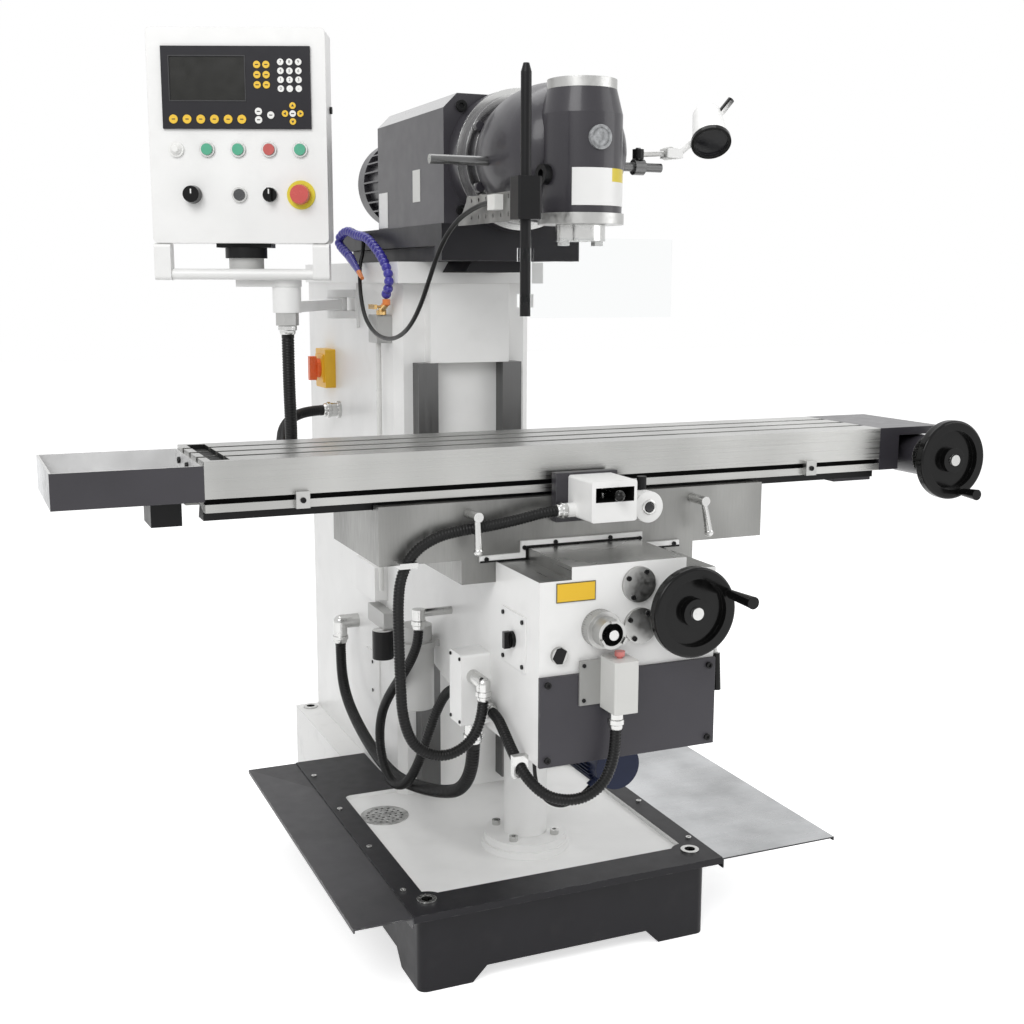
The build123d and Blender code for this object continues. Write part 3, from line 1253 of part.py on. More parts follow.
def make_gearbox():
    half = GEARBOX_WIDTH / 2
    b = GEARBOX_BEVEL
    w = GEARBOX_WALL
    outline = [(-half, RAM_TOP), (-half, GEARBOX_TOP - b), (-half + b, GEARBOX_TOP), (half - b, GEARBOX_TOP),
               (half, GEARBOX_TOP - b), (half, RAM_TOP)]
    body = prism_y(outline, RAM_FRONT, GEARBOX_REAR)
    body -= span(-half + w, half - w, RAM_FRONT + w, GEARBOX_REAR - w, RAM_TOP - 1, GEARBOX_TOP - b - w)
    face = -half - BLANK_THICKNESS
    low, high = NAMEPLATE_HEIGHTS
    front_plate = span(face, -half, *NAMEPLATE_SPAN, RAM_TOP + low, RAM_TOP + high)
    start, end = REAR_PLATE_SPAN
    low, high = REAR_PLATE_HEIGHTS
    rear_plate = span(face, -half, GEARBOX_REAR - start, GEARBOX_REAR - end, RAM_TOP + low, RAM_TOP + high)
    bolts = []
    for side in (-1, 1):
        for z in (RAM_TOP + GEARBOX_BOLT_INSET, GEARBOX_TOP - GEARBOX_BOLT_INSET):
            seat = (side * (half - GEARBOX_BOLT_SIDE), RAM_FRONT, z)
            bolts.append(screw_head(seat, (0, -1, 0), GEARBOX_BOLT_RADIUS, GEARBOX_BOLT_HEAD))
    return group(body, front_plate, rear_plate, *bolts)


def make_drive_motor():
    z = MOTOR_Z
    y0 = GEARBOX_REAR
    y1 = y0 + MOTOR_FLANGE
    y4 = y0 + MOTOR_LENGTH
    y2 = y4 - MOTOR_COWL
    y3 = y4 - MOTOR_COWL_ROUND
    crest = MOTOR_RADIUS + MOTOR_FIN
    w = MOTOR_FIN_WIDTH / 2
    body = rod((0, y0, z), (0, y1, z), crest + MOTOR_FLANGE_LIP)
    body += rod((0, y1, z), (0, y2, z), MOTOR_RADIUS)
    fin = span(-w, w, y1, y2, MOTOR_RADIUS - MOTOR_FIN_WIDTH, crest)
    for i in range(MOTOR_FINS):
        body += Pos(0, 0, z) * Rot(0, 360 * i / MOTOR_FINS, 0) * fin
    body += rod((0, y2, z), (0, y3, z), crest)
    return body + rod((0, y3, z), (0, y4, z), crest, crest - MOTOR_COWL_ROUND)


def make_swivel_ring():
    z = SWIVEL_Z
    floor = RING_FRONT + RING_GROOVE_DEPTH
    body = rod((0, RAM_FRONT, z), (0, RING_FRONT, z), RING_RADIUS)
    groove = rod((0, RING_FRONT - 1, z), (0, floor, z), RING_GROOVE_OUTER)
    return body - (groove - rod((0, RING_FRONT - 2, z), (0, floor + 1, z), RING_GROOVE_INNER))


# Swivelling head

def elbow_dome(root_y):
    """Round casting turned about the swivel axis, closing in towards the upright head."""
    root = (ELBOW_ROOT_RADIUS, root_y)
    barrel = ThreePointArc(root, ELBOW_CROWN, ELBOW_SHOULDER)
    nose = TangentArc(ELBOW_SHOULDER, ELBOW_TIP, tangent=barrel % 1)
    inside = Polyline(ELBOW_TIP, (0, ELBOW_TIP[1]), (0, root_y), root)
    return Pos(0, 0, SWIVEL_Z) * revolve(make_face(barrel + nose + inside), Axis.Y)


def make_elbow():
    y = ELBOW_REAR
    z = SWIVEL_Z
    neck_y = y - ELBOW_FLANGE_LENGTH
    dome_y = neck_y - ELBOW_NECK_LENGTH
    body = rod((0, y, z), (0, neck_y, z), ELBOW_FLANGE_RADIUS)
    body += rod((0, neck_y, z), (0, dome_y, z), ELBOW_NECK_RADIUS)
    body += elbow_dome(dome_y)
    for i in range(ELBOW_BOLTS):
        a = 2 * math.pi * (i + 0.5) / ELBOW_BOLTS
        bx = ELBOW_BOLT_CIRCLE * math.cos(a)
        bz = z + ELBOW_BOLT_CIRCLE * math.sin(a)
        body += rod((bx, neck_y, bz), (bx, neck_y - ELBOW_BOLT_LENGTH, bz), ELBOW_BOLT_RADIUS)
    return body - head_core()


def head_core():
    """Room of the nose flange, the upright head body, its cone and its cap in the elbow."""
    c = (0, SPINDLE_Y)
    core = rod((*c, HEAD_BOTTOM - CORE_MARGIN), (*c, HEAD_BOTTOM), NOSE_FLANGE_RADIUS)
    core += rod((*c, HEAD_BOTTOM), (*c, HEAD_SHOULDER), HEAD_RADIUS)
    core += rod((*c, HEAD_SHOULDER), (*c, HEAD_TOP), HEAD_RADIUS, CAP_RADIUS)
    return core + rod((*c, HEAD_TOP), (*c, HEAD_TOP + CORE_MARGIN), CAP_RADIUS)


def make_head():
    c = (0, SPINDLE_Y)
    body = rod((*c, HEAD_BOTTOM), (*c, HEAD_SHOULDER), HEAD_RADIUS)
    body += rod((*c, HEAD_SHOULDER), (*c, HEAD_TOP), HEAD_RADIUS, CAP_RADIUS)
    body -= rod((*c, HEAD_BOTTOM - 1), (*c, HEAD_TOP + 1), SPINDLE_SHAFT + RUNNING_FIT)
    return body


def make_head_trim():
    c = (0, SPINDLE_Y)
    cap = rod((*c, HEAD_TOP), (*c, HEAD_TOP + CAP_HEIGHT), CAP_RADIUS)
    flange = rod((*c, NOSE_TOP), (*c, HEAD_BOTTOM), NOSE_FLANGE_RADIUS)
    flange -= rod((*c, NOSE_TOP - 1), (*c, HEAD_BOTTOM + 1), SPINDLE_SHAFT + RUNNING_FIT)
    front = SPINDLE_Y - HEAD_RADIUS
    face = front - SIGHT_RISE
    glass = rod((0, face, SIGHT_Z), (0, front + SIGHT_RADIUS, SIGHT_Z), SIGHT_RADIUS)
    glass -= rod((0, face - 1, SIGHT_Z), (0, face + SIGHT_RECESS, SIGHT_Z), SIGHT_BORE)
    glass -= head_core()
    low, high = HEAD_PLATE_HEIGHTS
    outer = HEAD_RADIUS + BLANK_THICKNESS
    plate = rod((*c, low), (*c, high), outer) - rod((*c, low - 1), (*c, high + 1), HEAD_RADIUS)
    rear = SPINDLE_Y - HEAD_PLATE_REAR
    plate = plate & span(*HEAD_PLATE_SPAN, SPINDLE_Y - outer - 1, rear, low - 1, high + 1)
    a = math.radians(HEAD_BOLT_ANGLE)
    out = (math.cos(a), math.sin(a), 0)
    r = HEAD_RADIUS - HEAD_BOLT_SEAT
    seat = (r * out[0], SPINDLE_Y + r * out[1], HEAD_BOLT_Z)
    bolt = screw_head(seat, out, HEAD_BOLT_RADIUS, HEAD_BOLT_HEAD) - head_core() - make_elbow()
    return group(cap, flange, glass, plate, bolt)


def make_spindle():
    c = (0, SPINDLE_Y)
    body = rod((*c, NOSE_BOTTOM), (*c, NOSE_TOP - SLIDE_GAP), NOSE_RADIUS)
    body += rod((*c, NOSE_TOP - SLIDE_GAP), (*c, SPINDLE_TOP), SPINDLE_SHAFT)
    small = TAPER_RADIUS - TAPER_DEPTH * TAPER_RATIO / 2
    body -= rod((*c, NOSE_BOTTOM), (*c, NOSE_BOTTOM + TAPER_DEPTH), TAPER_RADIUS, small)
    body -= rod((*c, NOSE_BOTTOM), (*c, SPINDLE_TOP + 1), DRAWBAR_RADIUS)
    w = DRIVE_KEY_WIDTH / 2
    d = DRIVE_KEY_DEPTH / 2
    for side in (-1, 1):
        x = side * (TAPER_RADIUS + NOSE_RADIUS) / 2
        body += span(x - w, x + w, SPINDLE_Y - d, SPINDLE_Y + d, NOSE_BOTTOM - DRIVE_KEY_RISE, NOSE_BOTTOM)
    return body


def make_head_handles():
    end = HAND_BAR_END
    x = LAMP_CLAMP_X
    y = HAND_BAR_Y
    z = HAND_BAR_Z
    w = LAMP_CLAMP_WIDTH / 2
    bars = rod((-end, y, z), (end, y, z), HAND_BAR_RADIUS)
    bars += rod((x - w, y, z), (x + w, y, z), LAMP_CLAMP_RADIUS)
    bars += rod((x, y, z), (x, y, z + LAMP_POST_HEIGHT), LAMP_PIN_RADIUS)
    return group(bars - make_elbow())


def make_guard_bracket():
    x0 = GUARD_X - GUARD_PLATE_THICKNESS / 2
    x1 = GUARD_X + GUARD_PLATE_THICKNESS / 2
    half = CLAMP_SIZE / 2
    rear = GUARD_PLATE_REAR
    clamp_rear = GUARD_BAR_Y + half
    plate_top = CLAMP_TOP - 2 * GUARD_SPACER_RADIUS
    plate = prism_x([(rear, CLAMP_BOTTOM), (rear - GUARD_PLATE_SLOPE, plate_top), (clamp_rear, plate_top),
                     (clamp_rear, CLAMP_BOTTOM)], x0, x1)
    for i in range(GUARD_HOLES):
        y = rear - GUARD_HOLE_START - GUARD_HOLE_PITCH * i
        for z in (CLAMP_BOTTOM + 3 * GUARD_HOLE_RADIUS, plate_top - 2 * GUARD_HOLE_RADIUS):
            plate -= rod((x0 - 1, y, z), (x1 + 1, y, z), GUARD_HOLE_RADIUS)
    clamp = span(GUARD_X - half, GUARD_X + half, GUARD_BAR_Y - half, clamp_rear, CLAMP_BOTTOM, CLAMP_TOP)
    bracket = plate + rounded(clamp, Axis.Z, CLAMP_ROUND)
    axis = (GUARD_X, GUARD_BAR_Y)
    bracket -= rod((*axis, CLAMP_BOTTOM - 1), (*axis, CLAMP_TOP + 1), GUARD_BAR_RADIUS + RUNNING_FIT)
    bracket += span(x0 - CONNECTOR_RISE, x0, *CONNECTOR_SPAN, *CONNECTOR_HEIGHTS)
    for y in GUARD_SPACERS:
        spacer = rod((x1, y, GUARD_SPACER_Z), (GUARD_SPACER_END, y, GUARD_SPACER_Z), GUARD_SPACER_RADIUS)
        bracket += spacer - make_elbow()
    return group(bracket)


def make_guard_bar():
    axis = (GUARD_X, GUARD_BAR_Y)
    shoulder = GUARD_BAR_TOP - GUARD_BAR_TAPER
    bar = rod((*axis, GUARD_BAR_BOTTOM), (*axis, shoulder), GUARD_BAR_RADIUS)
    return bar + rod((*axis, shoulder), (*axis, GUARD_BAR_TOP), GUARD_BAR_RADIUS, GUARD_BAR_TIP)


def make_guard_shield():
    axis = (GUARD_X, GUARD_BAR_Y)
    x0 = GUARD_X + KNUCKLE_RADIUS - SHIELD_OVERLAP
    t = SHIELD_THICKNESS / 2
    sheet = span(x0, x0 + SHIELD_WIDTH, GUARD_BAR_Y - t, GUARD_BAR_Y + t, SHIELD_BOTTOM, SHIELD_TOP)
    for z in (SHIELD_BOTTOM + KNUCKLE_INSET, SHIELD_TOP - KNUCKLE_INSET - KNUCKLE_HEIGHT):
        sheet += rod((*axis, z), (*axis, z + KNUCKLE_HEIGHT), KNUCKLE_RADIUS)
    return sheet - rod((*axis, SHIELD_BOTTOM - 1), (*axis, SHIELD_TOP + 1), GUARD_BAR_RADIUS + RUNNING_FIT)


def make_lamp_arm():
    jx, jy, jz = LAMP_JOINT
    axis = (LAMP_CLAMP_X, HAND_BAR_Y)
    low = HAND_BAR_Z + LAMP_CLAMP_RADIUS + SLIDE_GAP
    high = low + LAMP_EYE_HEIGHT
    bore = LAMP_PIN_RADIUS + RUNNING_FIT
    w = LAMP_KNUCKLE_WIDTH / 2
    eye = rod((*axis, low), (*axis, high), LAMP_EYE_RADIUS) - rod((*axis, low - 1), (*axis, high + 1), bore)
    start = (LAMP_CLAMP_X + LAMP_EYE_RADIUS - 2, HAND_BAR_Y, (low + high) / 2)
    arm = eye + rod(start, LAMP_JOINT, LAMP_ARM_RADIUS)
    arm += rod((jx, jy - w, jz), (jx, jy + w, jz), LAMP_KNUCKLE_RADIUS)
    return arm - rod((jx, jy - w - 1, jz), (jx, jy + w + 1, jz), bore)


def make_lamp_head():
    jx, jy, jz = LAMP_JOINT
    centre = Vector(*LAMP_CENTRE)
    aim = Vector(*LAMP_AIM).normalized()
    step = centre - aim * LAMP_BEZEL
    lamp = rod(step, centre - aim * LAMP_LENGTH, LAMP_RADIUS - LAMP_BEZEL_STEP, LAMP_REAR_RADIUS)
    lamp += rod(centre, step, LAMP_RADIUS)
    lamp -= rod(centre + aim, centre - aim * LAMP_GLASS_DEPTH, LAMP_GLASS_RADIUS)
    h = LAMP_EAR_HALF
    t = LAMP_EAR_THICKNESS / 2
    x1 = jx + LAMP_EAR_LENGTH
    outer = LAMP_EAR_GAP + t
    for side in (-1, 1):
        y = jy + side * LAMP_EAR_GAP
        lamp += span(jx - h, x1, y - t, y + t, jz - h, jz + h)
    lamp += span(x1 - h, x1, jy - outer, jy + outer, jz - h, jz + h)
    lamp += rod((jx, jy - outer, jz), (jx, jy + outer, jz), LAMP_PIN_RADIUS)
    lamp += rod((x1 - h / 2, jy, jz), centre - aim * LAMP_NECK_PLACE, LAMP_NECK_RADIUS)
    root = centre - aim * LAMP_GRIP_PLACE + Vector(*LAMP_GRIP_ROOT)
    return lamp + rod(root, root + Vector(*LAMP_GRIP_REACH), LAMP_GRIP_RADIUS)


# Knee

def make_knee():
    half = KNEE_HALF
    way = KNEE_WAY_WIDTH / 2
    outline = [(KNEE_FRONT, KNEE_BOTTOM), (KNEE_FRONT, KNEE_TOP), (KNEE_REAR, KNEE_TOP),
               (KNEE_REAR, KNEE_REAR_BOTTOM), (KNEE_FRONT + KNEE_NOSE_LENGTH, KNEE_BOTTOM)]
    body = prism_x(outline, -half, half)
    body += span(-way, way, KNEE_FRONT, KNEE_REAR, KNEE_TOP, KNEE_WAY_TOP)
    grip = WAY_OUTER / 2 + SLIDE_GAP
    for side in (-1, 1):
        body += span(side * grip, side * half, KNEE_REAR, KNEE_REAR + CHEEK_DEPTH, CHEEK_BOTTOM, KNEE_TOP)
    c = (0, PEDESTAL_Y)
    body -= rod((*c, KNEE_BOTTOM - 1), (*c, TUBE_ROOM_TOP), TUBE_RADIUS + 2)
    body -= rod((*c, TUBE_ROOM_TOP - 1), (*c, LIFT_SCREW_TOP), LIFT_SCREW_RADIUS + RUNNING_FIT)
    boss_front = KNEE_FRONT - CROSS_BOSS_LENGTH
    body += rod((CROSS_X, KNEE_FRONT, CROSS_Z), (CROSS_X, boss_front, CROSS_Z), CROSS_BOSS_RADIUS)
    bore = WHEEL_SHAFT + RUNNING_FIT
    body -= rod((CROSS_X, boss_front - 1, CROSS_Z), (CROSS_X, CROSS_SCREW_REAR, CROSS_Z), bore)
    crank_end = KNEE_FRONT + CRANK_SHAFT_DEPTH
    body -= rod((CRANK_X, KNEE_FRONT - 1, CRANK_Z), (CRANK_X, crank_end, CRANK_Z), CRANK_SHAFT + RUNNING_FIT)
    bore = KNOB_STEM_RADIUS + RUNNING_FIT
    body -= rod((-half - 1, KNOB_Y, KNOB_Z), (-half + KNOB_STEM_DEPTH, KNOB_Y, KNOB_Z), bore)
    bore = LEVER_STEM_RADIUS + RUNNING_FIT
    lever_end = half - LEVER_STEM_DEPTH
    return body - rod((lever_end, LEVER_Y, LEVER_Z), (half + 1, LEVER_Y, LEVER_Z), bore)


def make_lift_screw():
    c = (0, PEDESTAL_Y)
    return rod((*c, LIFT_SCREW_BOTTOM), (*c, LIFT_SCREW_TOP), LIFT_SCREW_RADIUS)


def make_knee_cover():
    half = KNEE_HALF
    top = KNEE_BOTTOM + COVER_HEIGHT
    front = (0, -1, 0)
    pieces = [span(-half - COVER_LIP, half + COVER_LIP, COVER_FRONT, KNEE_FRONT, KNEE_BOTTOM, top)]
    for side in (-1, 1):
        for z in (KNEE_BOTTOM + COVER_SCREW_INSET, top - COVER_SCREW_INSET):
            seat = (side * (half - COVER_SCREW_INSET), COVER_FRONT, z)
            pieces.append(screw_head(seat, front, COVER_SCREW_RADIUS, COVER_SCREW_HEAD))
    cap_front = KNEE_FRONT - CAP_PLATE_THICKNESS
    for x, z in CAP_PLACES:
        pieces.append(rod((x, KNEE_FRONT, z), (x, cap_front, z), CAP_PLATE_RADIUS))
        for angle in (60, 150, 240):
            a = math.radians(angle)
            seat = (x + CAP_SCREW_CIRCLE * math.cos(a), cap_front, z + CAP_SCREW_CIRCLE * math.sin(a))
            pieces.append(screw_head(seat, front, CAP_SCREW_RADIUS, CAP_SCREW_HEAD))
    x, z = PLUG_PLACE
    pieces.append(rod((x, KNEE_FRONT, z), (x, KNEE_FRONT - PLUG_RISE, z), PLUG_RADIUS))
    pieces.append(span(*KNEE_PLATE_SPAN, KNEE_FRONT - KNEE_PLATE_THICKNESS, KNEE_FRONT, *KNEE_PLATE_HEIGHTS))
    return group(*pieces)


def make_junction_box():
    x1 = -KNEE_HALF
    box = span(x1 - JUNCTION_WIDTH, x1, JUNCTION_Y0, JUNCTION_Y1, JUNCTION_Z0, JUNCTION_Z1)
    box = rounded(box, Axis.X, BOX_CORNER)
    dx, dy, dz = ROUTE_D[-1]
    box += rod((dx, JUNCTION_Y0, dz), (dx, dy, dz), GLAND_RADIUS)
    ax, ay, az = ROUTE_A[-1]
    bend = (ax, ay, az + GLAND_RADIUS)
    box += rod((ax, JUNCTION_Y0, az + GLAND_RADIUS), bend, GLAND_RADIUS)
    box += Pos(*bend) * Sphere(GLAND_RADIUS)
    box += rod((ax, ay, az), bend, GLAND_RADIUS)
    bx, by, bz = ROUTE_B[-1]
    box += rod((bx, by, JUNCTION_Z0), (bx, by, bz), GLAND_RADIUS + GLAND_LIP)
    cx, cy, cz = ROUTE_C[-1]
    return box + rod((cx, JUNCTION_Y1, cz), (cx, cy, cz), GLAND_RADIUS)


def make_stop_box():
    """Small box on the cover, its foot plate, the button's bore and the gland below."""
    box = span(STOP_BOX_X0, STOP_BOX_X1, COVER_FRONT - STOP_BOX_DEPTH, COVER_FRONT, STOP_BOX_Z0, STOP_BOX_Z1)
    box = rounded(box, Axis.Z, STOP_BOX_CORNER)
    bore_end = STOP_BOX_Z1 - STOP_STEM_DEPTH
    box -= rod((STOP_X, STOP_Y, bore_end), (STOP_X, STOP_Y, STOP_BOX_Z1 + 1), STOP_STEM_RADIUS + RUNNING_FIT)
    x, y, z = ROUTE_D[0]
    box += rod((x, y, STOP_BOX_Z0), (x, y, z), GLAND_RADIUS)
    return box + span(STOP_PLATE_X0, STOP_X, COVER_FRONT - STOP_PLATE_THICKNESS, COVER_FRONT,
                      STOP_BOX_Z0 + STOP_PLATE_INSET, STOP_BOX_Z1 - STOP_PLATE_INSET)


def make_knee_boxes():
    x1 = -KNEE_HALF
    face = x1 - KNOB_PLATE_THICKNESS
    dy, dz = KNOB_PLATE_HALF
    plate = span(face, x1, KNOB_Y - dy, KNOB_Y + dy, KNOB_Z - dz, KNOB_Z + dz)
    plate -= rod((face - 1, KNOB_Y, KNOB_Z), (x1 + 1, KNOB_Y, KNOB_Z), KNOB_STEM_RADIUS + RUNNING_FIT)
    dy, dz = KNOB_PLATE_SCREW_HALF
    screws = []
    for side in (-1, 1):
        for z in (KNOB_Z - dz, KNOB_Z + dz):
            seat = (face, KNOB_Y + side * dy, z)
            screws.append(screw_head(seat, (-1, 0, 0), WIPER_SCREW_RADIUS, WIPER_SCREW_HEAD))
    cx, cy, cz = ROUTE_C[0]
    stud_z = cz + FITTING_RISE
    fitting = rod((x1, cy, stud_z), (cx, cy, stud_z), FITTING_RADIUS)
    fitting += rod((cx, cy, stud_z + FITTING_RADIUS), ROUTE_C[0], GLAND_RADIUS)
    clip = conduit_clip(ROUTE_D[6], ROUTE_D[7], x1, CLIP_HALF_LENGTH)
    lx, ly, lz = LEAD_ROUTE[0]
    lead_gland = rod((lx, ly, KNEE_BOTTOM), (lx, ly, lz), LEAD_GLAND_RADIUS)
    return group(make_junction_box(), plate, *screws, make_stop_box(), fitting, clip, lead_gland)


def conduit_clip(start, end, wall_x, half_length):
    """Clip that stands out from a side wall and holds the middle of a run of conduit."""
    a = Vector(*start)
    b = Vector(*end)
    middle = (a + b) * 0.5
    reach = CONDUIT_RADIUS + CLIP_WALL
    height = CONDUIT_RADIUS + 2.5 * CLIP_WALL
    block = span(middle.X - reach, wall_x, middle.Y - half_length, middle.Y + half_length,
                 middle.Z - height, middle.Z + height)
    return block - rod(a, b, CONDUIT_RADIUS + CLIP_GAP)


def make_knee_estop():
    low = STOP_BOX_Z1 + STOP_TRAVEL + 1
    stem_end = STOP_BOX_Z1 - STOP_STEM_DEPTH + 2 * STOP_TRAVEL
    cap = rod((STOP_X, STOP_Y, low), (STOP_X, STOP_Y, low + STOP_CAP_HEIGHT), STOP_CAP_RADIUS)
    return cap + rod((STOP_X, STOP_Y, stem_end), (STOP_X, STOP_Y, low), STOP_STEM_RADIUS)


def make_feed_knob():
    y = KNOB_Y
    z = KNOB_Z
    x = -KNEE_HALF - KNOB_PLATE_THICKNESS - SLIDE_GAP
    base = x - KNOB_BASE
    w = KNOB_GRIP_WIDTH / 2
    knob = rod((x, y, z), (base, y, z), KNOB_RADIUS)
    knob += span(base - KNOB_GRIP_RISE, base, y - w, y + w, z - KNOB_RADIUS, z + KNOB_RADIUS)
    return knob + rod((x + KNOB_STEM_DEPTH, y, z), (x, y, z), KNOB_STEM_RADIUS)


def make_knee_lever():
    y = LEVER_Y
    z = LEVER_Z
    hub = KNEE_HALF + SLIDE_GAP
    x = KNEE_HALF + LEVER_OFFSET
    lever = rod((KNEE_HALF - LEVER_STEM_DEPTH + 2, y, z), (hub, y, z), LEVER_STEM_RADIUS)
    lever += rod((hub, y, z), (KNEE_HALF + LEVER_HUB_LENGTH, y, z), LEVER_HUB_RADIUS)
    knee = (x, y + LEVER_KNEE[0], z + LEVER_KNEE[1])
    lever += rod((x, y, z), knee, LEVER_ROD_RADIUS)
    return lever + rod(knee, (x, y + LEVER_TIP[0], z + LEVER_TIP[1]), LEVER_GRIP_RADIUS)


def make_feed_motor():
    x = FEED_MOTOR_X
    r = FEED_MOTOR_RADIUS
    z = KNEE_BOTTOM - r - FEED_MOTOR_FOOT
    y0 = KNEE_FRONT + FEED_MOTOR_SETBACK
    y1 = y0 + FEED_MOTOR_LENGTH
    end = FEED_MOTOR_END
    foot = FEED_MOTOR_FOOT_WIDTH / 2
    motor = rod((x, y0, z), (x, y1, z), r)
    motor += span(x - foot, x + foot, y0 + end, y1 - end, z, KNEE_BOTTOM)
    fin = span(-1, 1, y0 + end, y1 - end, r - 2, r + FEED_MOTOR_FIN)
    for i in range(FEED_MOTOR_FINS):
        motor += Pos(x, 0, z) * Rot(0, 90 + 180 * i / (FEED_MOTOR_FINS - 1), 0) * fin
    lead_end = Vector(*LEAD_ROUTE[-1])
    axis = Vector(x, lead_end.Y, z)
    seat = axis + (lead_end - axis).normalized() * (r - FEED_MOTOR_FOOT)
    return motor + rod(seat, lead_end, LEAD_GLAND_RADIUS)


def make_knee_motors():
    x1 = -KNEE_HALF
    c = (x1 - SIDE_MOTOR_OFFSET, SIDE_MOTOR_Y)
    low = SIDE_MOTOR_BOTTOM
    high = low + SIDE_MOTOR_LENGTH
    lip = SIDE_MOTOR_FLANGE
    shelf = SIDE_MOTOR_SHELF / 2
    upright = rod((*c, low), (*c, high), SIDE_MOTOR_RADIUS)
    upright += rod((*c, high - lip), (*c, high), SIDE_MOTOR_RADIUS + GLAND_LIP)
    upright += rod((*c, high), (*c, high + SIDE_MOTOR_NECK), SIDE_MOTOR_RADIUS - GLAND_LIP)
    upright += span(c[0], x1, c[1] - shelf, c[1] + shelf, KNEE_REAR_BOTTOM, KNEE_REAR_BOTTOM + lip)
    return group(make_feed_motor(), upright)


def make_handwheel(x, z, face, grip_angle, grip_length, shaft_end):
    """Dished handwheel facing the operator, with its hub, nut, grip and shaft."""
    back = face + WHEEL_THICKNESS
    hub_front = face - WHEEL_HUB_RISE
    hub_back = back + WHEEL_HUB_BACK
    wheel = rod((x, face, z), (x, back, z), WHEEL_RADIUS)
    wheel -= rod((x, face - 1, z), (x, face + WHEEL_DISH, z), WHEEL_RADIUS - WHEEL_RIM)
    wheel = fillet(wheel.edges().filter_by(GeomType.CIRCLE).group_by(SortBy.RADIUS)[-1], WHEEL_ROUND)
    wheel += rod((x, hub_front, z), (x, hub_back, z), WHEEL_HUB_RADIUS)
    wheel += rod((x, hub_front - WHEEL_NUT_RISE, z), (x, hub_front, z), WHEEL_NUT_RADIUS)
    a = math.radians(grip_angle)
    r = WHEEL_RADIUS - WHEEL_RIM / 2
    gx = x + r * math.cos(a)
    gz = z + r * math.sin(a)
    pin = face - GRIP_PIN_LENGTH
    wheel += rod((gx, face, gz), (gx, pin, gz), GRIP_PIN_RADIUS)
    wheel += rod((gx, pin, gz), (gx, face - grip_length, gz), GRIP_ROOT_RADIUS, GRIP_END_RADIUS)
    return wheel + rod((x, hub_back, z), (x, shaft_end, z), WHEEL_SHAFT)


def make_cross_wheel():
    """Wheel with the cross feed screw behind it."""
    screw_rear = CROSS_SCREW_REAR - 2
    wheel = make_handwheel(CROSS_X, CROSS_Z, WHEEL_FACE, CROSS_GRIP_ANGLE, CROSS_GRIP_LENGTH, screw_rear)
    collar = KNEE_FRONT - CROSS_BOSS_LENGTH - SLIDE_GAP
    back = WHEEL_FACE + WHEEL_THICKNESS
    return wheel + rod((CROSS_X, collar, CROSS_Z), (CROSS_X, back, CROSS_Z), CROSS_COLLAR_RADIUS)


def make_knee_crank():
    """Graduated dial with the jaws that the loose crank engages."""
    x = CRANK_X
    z = CRANK_Z
    face = KNEE_FRONT - SLIDE_GAP
    step = face - CRANK_DIAL_STEP
    tip = face - CRANK_DIAL_LENGTH
    dial = rod((x, face, z), (x, step, z), CRANK_DIAL_RADIUS)
    dial += rod((x, step, z), (x, tip, z), CRANK_SLEEVE_RADIUS)
    dial -= rod((x, tip - 1, z), (x, tip + CRANK_SLEEVE_DEPTH, z), CRANK_SLEEVE_BORE)
    w = CRANK_JAW_WIDTH / 2
    jaw = span(-w, w, tip - CRANK_JAW_RISE, tip + 1, CRANK_SLEEVE_BORE + 1, CRANK_SLEEVE_RADIUS - 1)
    for angle in (0, 120, 240):
        dial += Pos(x, 0, z) * Rot(0, angle, 0) * jaw
    shaft_end = KNEE_FRONT + CRANK_SHAFT_DEPTH - 2
    return dial + rod((x, tip - CRANK_SHAFT_RISE, z), (x, shaft_end, z), CRANK_SHAFT)


# Saddle

def make_saddle():
    half = SADDLE_HALF
    body = span(-half, half, SADDLE_FRONT, SADDLE_REAR, SADDLE_BOTTOM, SADDLE_DECK)
    front_wall = TABLE_FRONT + TABLE_INSET - SADDLE_WALL_GAP
    rear_wall = TABLE_REAR - TABLE_INSET + SADDLE_WALL_GAP
    lip = SADDLE_DECK + SADDLE_LIP
    body += span(-half, half, SADDLE_FRONT, front_wall, SADDLE_DECK, lip)
    body += span(-half, half, rear_wall, SADDLE_REAR, SADDLE_DECK, lip)
    dovetail_top = SADDLE_DECK + DOVETAIL_HEIGHT
    dovetail = trapezoid(TABLE_MID, DOVETAIL_NARROW, DOVETAIL_WIDE, SADDLE_DECK, dovetail_top)
    body += prism_x(dovetail, -half, half)
    way = KNEE_WAY_WIDTH / 2 + SLIDE_GAP
    body -= span(-way, way, SADDLE_FRONT - 1, SADDLE_REAR + 1, SADDLE_BOTTOM - 1, KNEE_WAY_TOP + SLIDE_GAP)
    leg0 = KNEE_HALF + SLIDE_GAP
    for side in (-1, 1):
        body += span(side * leg0, side * (leg0 + SADDLE_LEG_WIDTH), SADDLE_FRONT, SADDLE_REAR,
                     SADDLE_BOTTOM - SADDLE_LEG_HEIGHT, SADDLE_BOTTOM)
    bore_end = SADDLE_FRONT + LOCK_SHAFT_DEPTH
    for x, z in LOCK_PLACES:
        body -= rod((x, SADDLE_FRONT - 1, z), (x, bore_end, z), LOCK_SHAFT_RADIUS + RUNNING_FIT)
    return body


